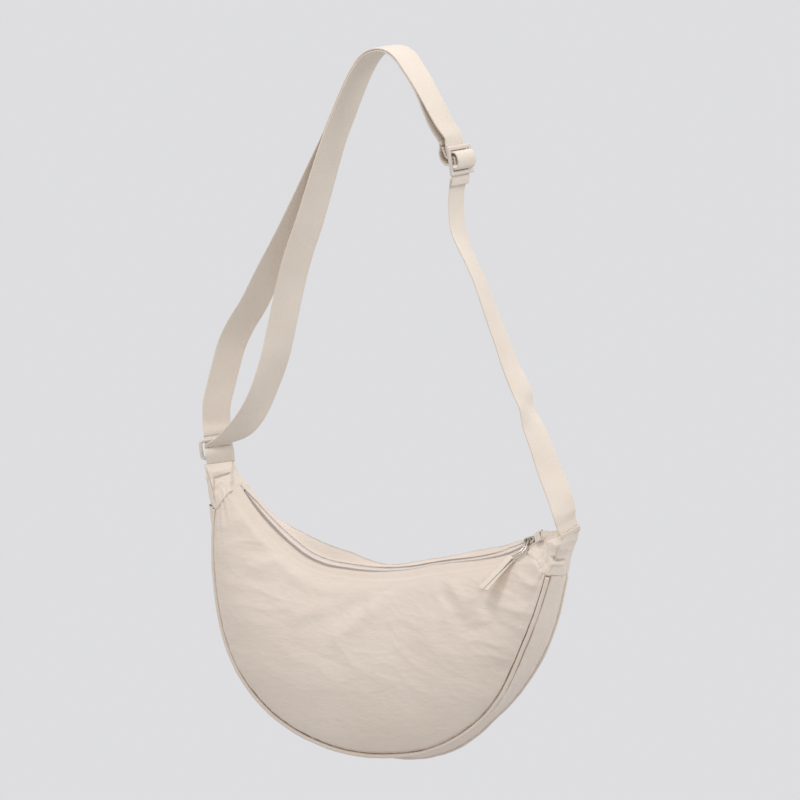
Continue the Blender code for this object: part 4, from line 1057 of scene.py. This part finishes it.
def add_band(name, band, body, replaced, wide=STRAP_WIDE, thick=STRAP_THICK, cup=0.0004,
             wave_size=0.00025, seed=1):
    """Webbing through its sections, with rounded edges, a slight crown and a soft waviness."""
    centres, sides, ups = (np.array(vectors)[:, None] for vectors in zip(*band))
    a, b = BAND_SECTION.T
    spots = centres + sides * (a * wide / 2)[:, None]
    lift = ripple(spots / MM, (24, 24, 24), seed) * wave_size if wave_size else 0.0
    grid = spots + ups * (b * thick / 2 + cup * (0.5 - a ** 2) + lift)[..., None]
    cloth = np.zeros(grid.shape)
    cloth[..., 0] = a * wide / 2
    cloth[..., 1] = lengths_along(centres[:, 0])[:, None]
    return add_object(name, grid, shell_faces(*grid.shape[:2]), STRAP, body, replaced,
                      cloth)


def adjuster_axes():
    across = width_direction(ADJUSTER_HEADING, ADJUSTER_LIFT)
    up = Vector((-0.05, 0, 1))
    up = (up - up.dot(across) * across).normalized()
    return across, up, across.cross(up)


# Levels of the layers of webbing out of the adjuster, and ends of the webbing threaded through it
LEVEL_LOOP = ADJUSTER_SIZE[2] / 2 + GAP + STRAP_THICK / 2
LEVEL_HUMP = LEVEL_LOOP + LAYER
LEVEL_FOOT = -LEVEL_LOOP
LEVEL_STRAND = LEVEL_FOOT - LAYER
LEVEL_LEG = LEVEL_STRAND - LAYER
LEVEL_FOLD = LEVEL_LEG - LAYER
FOOT_UP = 0.013
FOOT_DOWN = 0.0085


def adjuster_place(along, out):
    _, up, normal = adjuster_axes()
    return ADJUSTER_CENTRE + up * along + normal * out


def ring_axes():
    across = width_direction(RING_HEADING, RING_LIFT)
    up = (Vector((0, 0, 1)) - across.z * across).normalized()
    back = across.cross(up)
    return across, up, back if back.y > 0 else -back


def ring_wrap():
    """Points under the upper bar of the ring, from behind it to its front, a little slack."""
    _, up, back = ring_axes()
    centre = RING_CENTRE + up * RING_HALF_HIGH
    drop = RING_BEND + RING_WRAP_SLACK + GAP
    angles = [math.radians(135.0) * turn / 12 for turn in range(13)]
    return [centre + back * (RING_BEND * math.cos(a)) - up * (drop * math.sin(a)) for a in angles]


def ring_arch():
    """Points of the loop that stands up slack over the lower bar of the ring, back to front."""
    _, up, back = ring_axes()
    centre = RING_CENTRE - up * RING_HALF_HIGH
    top = 2 * RING_HALF_HIGH - RING_BEND - RING_WRAP_SLACK - STRAP_THICK - GAP
    half = ((RING_BEND, 0.0), (RING_BEND + 0.0005, 0.26), (RING_BEND + 0.0006, 0.56),
            (RING_BEND - 0.0003, 0.83), (RING_BEND * 0.5, 0.97))
    route = [*half, (0.0, 1.0), *((-away, share) for away, share in reversed(half))]
    return [centre + back * away + up * (top * share) for away, share in route]


def blend_to_adjuster(obj):
    """Bakes the strand's placing into its mesh."""
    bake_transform(obj)


def add_strap():
    """The two strands over the top: the outer one lies on the inner one, whose route it shares."""
    across, up, _ = ring_axes()
    wrap = ring_wrap()
    leg_points, leg_widths = stations(LEFT_INNER)
    top_points, top_widths = stations(STRAP_TOP)
    end = [adjuster_place(FOOT_UP + away, LEVEL_LEG) for away in (0.008, GAP)]
    points = [wrap[0] + up * 0.0030, *wrap, *leg_points, *top_points, *end]
    widths = [across] * (len(wrap) + 1) + leg_widths + top_widths + [adjuster_axes()[0]] * 2
    route = sections(*sweep(points, widths), INNER_SKEW)
    inner = [(p - face * (float(glide(p.z / MM, HANG_APART)) * MM) if p.x > 0 else p, side, face)
             for p, side, face in route]
    blend_to_adjuster(add_band("strap_inner", inner, None, "strap_inner_strand", seed=2))

    joined = sum(step_counts(points)[:len(wrap) + len(leg_points) + 1])
    shared = [(point + face * LAYER, side, face) for point, side, face in route[joined + 2:]]
    leg_points, leg_widths = stations(LEFT_OUTER)
    points = [wrap[0] + up * 0.0033, wrap[0] + up * 0.0073, *leg_points, shared[0][0]]
    path, sides = sweep(points, [across, across, *leg_widths, shared[0][1]])
    end = [(adjuster_place(0.0055, LEVEL_LEG + LAYER), *shared[-1][1:])]
    outer = sections(path + [shared[1][0]], sides + [shared[1][1]])[:-2] + shared + end
    add_band("strap_outer", outer, "bag", "strap_outer_strand", seed=2)


def add_lower_strap():
    """From behind the lower bar of the adjuster to the tab."""
    points, widths = stations(BELOW_ADJUSTER)
    begin = [adjuster_place(-0.0148, LEVEL_STRAND), adjuster_place(-0.0185, LEVEL_STRAND - 0.0011)]
    top, end_up, end_width = BAG @ RIGHT_CAP_TOP, BAG_TURN @ cap_up(1), BAG_TURN @ cap_width(1)
    path, sides = sweep([*begin, *points, top + end_up * 0.008, top - end_up * 0.004],
                        [adjuster_axes()[0]] * 2 + [*widths, end_width, end_width])
    obj = add_band("strap_lower", sections(path, sides), None, "strap_lower_strand", seed=4)
    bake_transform(obj)


def local_band(name, route, replaced, wide=STRAP_WIDE):
    """Webbing in the adjuster's frame: distance along the strap and height out of it."""
    points = [adjuster_place(along, out) for along, out in route]
    add_band(name, level_band(points, adjuster_axes()[0], 0.0008), "adjuster", replaced, wide,
             cup=0.0, wave_size=0.0)


def add_adjuster_webbing():
    bar = ADJUSTER_BAR / 2
    low_end = -(ADJUSTER_SIZE[1] / 2 + FOOT_DOWN)
    side = bar + 0.0060
    rise = [(side + 0.001, LEVEL_FOOT), (side - 0.0006, LEVEL_FOOT + 0.0012),
            (side - 0.0006, LEVEL_HUMP - 0.0016), (bar + 0.0034, LEVEL_HUMP + 0.0012)]
    fall = [(-along, out) for along, out in reversed(rise)]
    local_band("strap_over_bar",
               [(FOOT_UP, LEVEL_FOOT), *rise, (0.0, LEVEL_HUMP + 0.0026), *fall,
                (low_end + 0.0062, LEVEL_FOOT), (low_end + 0.0025, LEVEL_FOOT - 0.0009),
                (low_end, LEVEL_FOOT - 0.0019)], "strap_through_adjuster", STRAP_WIDE + HUMP_WIDER)
    near = bar + GAP + STRAP_THICK / 2
    leg = LEVEL_LEG - 0.0026
    local_band("strap_sewn_end",
               [(FOOT_UP, leg), (near + 0.0052, LEVEL_LEG - 0.0012), (near + 0.0018, LEVEL_LEG),
                (near, LEVEL_STRAND + 0.0002), (near + 0.0001, 0.0012),
                (near - 0.0008, LEVEL_LOOP + 0.0002), (0.0, LEVEL_LOOP + GAP),
                (-near + 0.0008, LEVEL_LOOP + 0.0002), (-near - 0.0001, 0.0012),
                (-near, LEVEL_LEG), (-near + 0.0014, LEVEL_FOLD - 0.0008),
                (near - 0.0004, LEVEL_FOLD - 0.0038), (near + 0.0050, LEVEL_FOLD - 0.0046),
                (FOOT_UP - 0.0010, leg - LAYER - 0.0006),
                (FOOT_UP + 0.0060, leg - LAYER - GAP)], "strap_end_loop")


def add_adjuster():
    """Three bars and two sides in one moulding with rounded edges."""
    wide, high, thick = ADJUSTER_SIZE
    slot_half = (STRAP_WIDE + SLOT_ROOM) / 2
    slot_low, slot_high = ADJUSTER_BAR / 2, high / 2 - ADJUSTER_BAR
    xs = (-wide / 2, -slot_half, -slot_half * 0.5, 0.0, slot_half * 0.5, slot_half, wide / 2)
    ys = (-high / 2, -slot_high, -slot_low, slot_low, slot_high, high / 2)
    points = [(x, y, z) for z in (-thick / 2, thick / 2) for y in ys for x in xs]
    columns, layer = len(xs), len(xs) * len(ys)
    solid = {(row, column) for row in range(len(ys) - 1) for column in range(columns - 1)
             if row not in (1, 3) or column in (0, columns - 2)}
    faces = []
    for row, column in sorted(solid):
        a = row * columns + column
        quad = (a, a + 1, a + columns + 1, a + columns)
        faces += [quad[::-1], tuple(layer + i for i in quad)]
        for down, along, i, j in ((-1, 0, 0, 1), (0, 1, 1, 2), (1, 0, 2, 3), (0, -1, 3, 0)):
            if (row + down, column + along) not in solid:
                faces.append((quad[i], quad[j], layer + quad[j], layer + quad[i]))
    obj = add_object("adjuster_frame", to_world(points, placed(adjuster_axes(), ADJUSTER_CENTRE)),
                     faces, BUCKLE, "adjuster", "adjuster", points)
    rounding = obj.modifiers.new("edges", "BEVEL")
    rounding.width = ADJUSTER_ROUNDING
    rounding.segments = 3
    rounding.limit_method = "ANGLE"


def add_ring():
    """The ring and the slack loop of webbing over its lower bar."""
    across, up, back = ring_axes()
    left, right, high = -RING_HALF_WIDE, RING_HALF_WIDE - RING_NARROWER, RING_HALF_HIGH
    corners = ((left, -high), (right, -high), (right, high), (left, high))
    path = split_loop(round_outline(corners, RING_CORNER, 8), 0.002)
    world = [RING_CENTRE + across * float(x) + up * float(y) for x, y in path]
    add_tube("strap_ring_frame", np.array(world), RING_WIRE, 14, BUCKLE, "ring",
             "strap_ring", tuple(across.cross(up)), True)
    arch = ring_arch()
    meet = back * (STRAP_THICK / 2 + GAP)
    low = (arch[0] + arch[-1]) / 2 - up * (RING_LOOP_LEG + 0.001)
    points = [low + meet, *arch, low - meet]
    add_band("ring_loop", level_band(points, across, 0.0012), "ring", "ring_webbing_loop",
             cup=0.0, wave_size=0.0)


# Fabric tabs at the two ends

def cap_width(side):
    turned = (RING_HEADING, RING_LIFT) if side < 0 else (RIGHT_CAP_HEADING, RIGHT_CAP_LIFT)
    return BAG_TURN.inverted() @ width_direction(*turned)


def cap_up(side):
    across = cap_width(side)
    up = BAG_TURN.inverted() @ (ring_axes()[1] if side < 0 else RIGHT_CAP_UP)
    return (up - up.dot(across) * across).normalized()


def cap_top(side):
    if side > 0:
        return RIGHT_CAP_TOP
    across, up, _ = ring_axes()
    lower = RING_CENTRE - up * (RING_HALF_HIGH + RING_LOOP_LEG + 0.0006)
    return BAG.inverted() @ (lower - across * LEFT_CAP_MOVED)


def loop_points(lines, counts):
    """A closed ring in space with as many points on each line as counts says, rounded off."""
    made = []
    for line, count in zip(lines, counts):
        run = lengths_along(line)
        marks = np.linspace(0.0, run[-1], count, endpoint=False)
        made.append(np.stack([np.interp(marks, run, axis) for axis in np.array(line).T], -1))
    made = np.concatenate(made)
    for _ in range(4):
        made = (np.roll(made, 1, axis=0) + 2 * made + np.roll(made, -1, axis=0)) / 4
    return made


def cap_rim(side):
    """The rim round the open end of the body, as five lines that begin at the front seam."""
    u = np.array(float(side))
    out = np.array((side * 0.83, 0.0, 0.56)) * 0.0002
    upward, _ = back_lift(zip_angle(side))
    heights = np.linspace(1.0, 0.06, 8)
    ends = np.full(8, 0.988 * side)
    _, lift = back_lift(zip_angle(ends))
    back_edge = panel_surface(ends, heights, 1) + upward * (lift * heights ** 3)[:, None]
    back_edge[:, 1] += CAP_BACK_OUT
    low = []
    for a in (-1.0, 0.0, 1.0):
        bulge = (float(glide(u, END_BULGE)) + 0.7 * (a > -1)) * MM * (1.0 - 0.9 * a * a)
        point = outline(u) + outline_normal(u[None])[0] * bulge + seam_push(u[None], a)[0]
        point[1] = a * (float(gusset_half(u)) + 0.0010 * (a > 0))
        low.append(point + out - upward * 0.0012 * (a > -1))
    if side < 0:
        front_line = panel_surface(np.full(8, -0.994), heights[::-1], -1)
        front_line[:, 1] -= LEFT_CAP_OUT
        over = []
    else:
        heights = np.linspace(0.12, 1.0, 8)
        seam = panel_surface(glide(heights, TAB_SEAM), heights, -1)
        seam[:, 1] -= TAB_SEAM_OUT
        front_line = [low[0], *seam]
        over = zip_grid(np.append(np.radians((41.4, 42.9)), zip_angle(1)),
                        (-0.0075, -0.0052, 0.0030), (0.001, 0.0012, 0.0008))
    return [front_line, [front_line[-1], *over, back_edge[0]], [*back_edge, low[2]],
            [low[2], low[1]], [low[1], low[0]]]


def cap_tip(side):
    """The narrow end round the strap, as lines that answer those of the rim."""
    across, up = np.array(cap_width(side)), np.array(cap_up(side))
    if side > 0:
        front, inner = -across * CAP_HALF_WIDE, np.cross(up, across) * CAP_HALF_THICK
        places = ((1, -1), (1, 1), (-0.84, 1), (-0.84, -1), (0, -1))
    else:
        front, inner = np.cross(across, up) * CAP_HALF_THICK, across * CAP_HALF_WIDE
        places = ((1, -1), (1, 0.86), (-1, 0.86), (-1, -1), (0, -1))
    corners = [np.array(cap_top(side)) + front * a + inner * b for a, b in places]
    return [[corner, corners[(i + 1) % 5]] for i, corner in enumerate(corners)]


def add_cap(name, replaced, side, folds):
    """A gathered tab between its rim round the body's end and its tip round the strap."""
    counts, rings = (34, 26, 34, 20, 20), 64
    count = sum(counts)
    base, tip = loop_points(cap_rim(side), counts), loop_points(cap_tip(side), counts)
    share = np.linspace(0.0, 1.0, rings)[:, None]
    ease = (share ** 0.9)[..., None]
    grid = base * (1 - ease) + tip * ease
    middle = grid.mean(axis=1, keepdims=True)
    pinch = 1.0 - 0.05 * np.sin(math.pi * share) + 0.12 * (side > 0) * np.exp(
        -((share - 0.72) / 0.16) ** 2)
    grid = middle + (grid - middle) * pinch[..., None]
    normals = unit(np.cross(np.roll(grid, -1, axis=1) - np.roll(grid, 1, axis=1),
                            np.gradient(grid, axis=0)))
    if np.sum(normals * (grid - grid.mean(axis=1, keepdims=True))) < 0:
        normals = -normals
    turn = np.arange(count)[None, :] * 2 * math.pi / count
    place = points_of(np.cos(turn) * 18.0, np.sin(turn) * 18.0, share * 40.0)
    gather = (0.45 + 0.25 * side) * crumple(place, (5, 5, 30), 81 + side)
    cross_folds = 0.4 * crumple(place, (22, 22, 9), 91 + side) * np.sin(np.pi * share)
    small = 0.16 * crumple(place, (6, 6, 7), 95 + side)
    large = sum(fold_height(turn / (2 * math.pi) + whole, share, fold, 0.0, 0.35)
                for fold in folds for whole in (-1, 0, 1))
    # The rim is sewn to the body, and two rows of stitches press the hem at the right tab's tip
    calm = fade(share, 0, 0.06) * (1 - (0.6 + 0.25 * side) * fade(
        share, 0.80 - 0.06 * side, 0.93 - 0.07 * side))
    move = (gather * (1 - fade(share, 0, 0.45)) + cross_folds + small + large) * calm
    move -= 0.16 * np.exp(-((share - 0.90) / 0.012) ** 2) * (side > 0)
    # Painted shade in the hollows of the large folds and along the seam at the base of the tab
    shade = (np.clip(-large * calm / 1.3, 0, 1) ** 2 * 0.5
             + 0.45 * (1 - fade(share, 0, 0.035)))
    grid = grid + normals * (move * MM)[..., None]
    up = np.array(cap_up(side))
    inner_rim = grid[-1] - normals[-1] * 0.0012
    grid = to_world([grid[0] - normals[0] * 0.0016 - up * 0.0006, *grid, inner_rim,
                     inner_rim - up * 0.003])
    faces = grid_faces(len(grid), count, True)
    start = grid[20, 0]
    outward = start - grid[20].mean(axis=0)
    if np.dot(np.cross(grid[20, 1] - start, grid[21, 0] - start), outward) < 0:
        faces = [face[::-1] for face in faces]
    cloth = np.zeros(grid.shape)
    cloth[..., 0] = np.arange(count) * 0.001
    cloth[..., 1] = np.arange(len(grid))[:, None] * 0.001
    add_object(name, grid, faces, CAP_CLOTH, "bag", replaced, cloth,
               np.concatenate((shade[:1], shade, shade[-1:], shade[-1:])))


# Room, light and camera

FLOOR_PROFILE = ((1.5, -0.86), (3.2, -0.86), (3.9, -0.80), (4.5, -0.62), (4.9, -0.3), (5.1, 0.2),
                 (5.15, 1.5), (5.15, 4.0))
FLOOR_STEPS = 48
LAMP_TARGET = Vector((0.0, 0.0, -0.35))
CAMERA_TURN = math.radians(23.5)
CAMERA_AWAY = 2.5
CAMERA_SIDE = 0.0086
CAMERA_LEVEL = -0.297
FOCAL_PIXELS = 2900.0
PICTURE = 800.0


def add_camera():
    data = bpy.data.cameras.new("viewer")
    data.sensor_width = 36.0
    data.lens = FOCAL_PIXELS / PICTURE * data.sensor_width
    data.clip_start = 0.05
    data.clip_end = 30.0
    obj = bpy.data.objects.new("viewer", data)
    bpy.context.collection.objects.link(obj)
    c, s = math.cos(CAMERA_TURN), math.sin(CAMERA_TURN)
    obj.location = (s * CAMERA_AWAY + c * CAMERA_SIDE, -c * CAMERA_AWAY + s * CAMERA_SIDE,
                    CAMERA_LEVEL)
    obj.rotation_euler = (math.radians(90.0), 0.0, CAMERA_TURN)
    bpy.context.scene.camera = obj


def add_backdrop():
    """A wide pale floor that curves up into walls all round."""
    points = []
    for radius, level in FLOOR_PROFILE:
        for step in range(FLOOR_STEPS):
            turn = 2 * math.pi * step / FLOOR_STEPS
            points.append((radius * math.cos(turn), radius * math.sin(turn), level))
    faces = grid_faces(len(FLOOR_PROFILE), FLOOR_STEPS, True) + [tuple(range(FLOOR_STEPS))]
    made, tree, shader = nodes_of("pale_backdrop")
    fill(tree, shader, Base_Color=(0, 0, 0, 1), Roughness=1.0, Specular_IOR_Level=0.0,
         Emission_Color=(0.730, 0.730, 0.745, 1), Emission_Strength=1.0)
    obj = add_object("floor_and_walls", points, faces, made)
    obj.visible_diffuse = False
    obj.visible_glossy = False


def add_area(name, place, size, power, colour):
    lamp = bpy.data.lights.new(name, "AREA")
    lamp.size, lamp.energy, lamp.color = size, power, colour
    obj = bpy.data.objects.new(name, lamp)
    bpy.context.collection.objects.link(obj)
    obj.location = place
    obj.rotation_euler = (LAMP_TARGET - Vector(place)).to_track_quat("-Z", "Y").to_euler()
    obj.visible_camera = False


def add_light():
    """Soft light that comes mostly from above, with a lamp at the left and one at the right."""
    world = bpy.data.worlds.new("soft_room")
    bpy.context.scene.world = world
    world.use_nodes = True
    tree = world.node_tree
    direction = node(tree, "TexCoord").outputs["Generated"]
    height = node(tree, "SeparateXYZ", Vector=direction).outputs["Z"]
    colour = mix_colour(tree, spread(tree, height, -0.5, 0.9), (0.625, 0.63, 0.64),
                        (0.84, 0.84, 0.85))
    fill(tree, tree.nodes["Background"], Color=colour, Strength=1.0)
    add_area("key", (-0.45, -0.95, 1.55), 0.6, 11.5, (1.0, 0.985, 0.965))
    add_area("side", (1.5, -0.1, 1.05), 0.8, 12.0, (1.0, 0.99, 0.98))


add_camera()
add_backdrop()
add_light()
bpy.context.scene.view_settings.view_transform = "Standard"
add_panels()
add_gussets()
add_seams()
add_linings()
add_tapes()
add_slider()
add_pull()
add_stops()
add_strap()
add_lower_strap()
add_adjuster()
add_adjuster_webbing()
add_ring()
add_cap("left_tab", "left_end_tab", -1, LEFT_CAP_FOLDS)
add_cap("right_tab", "right_end_tab", 1, RIGHT_CAP_FOLDS)
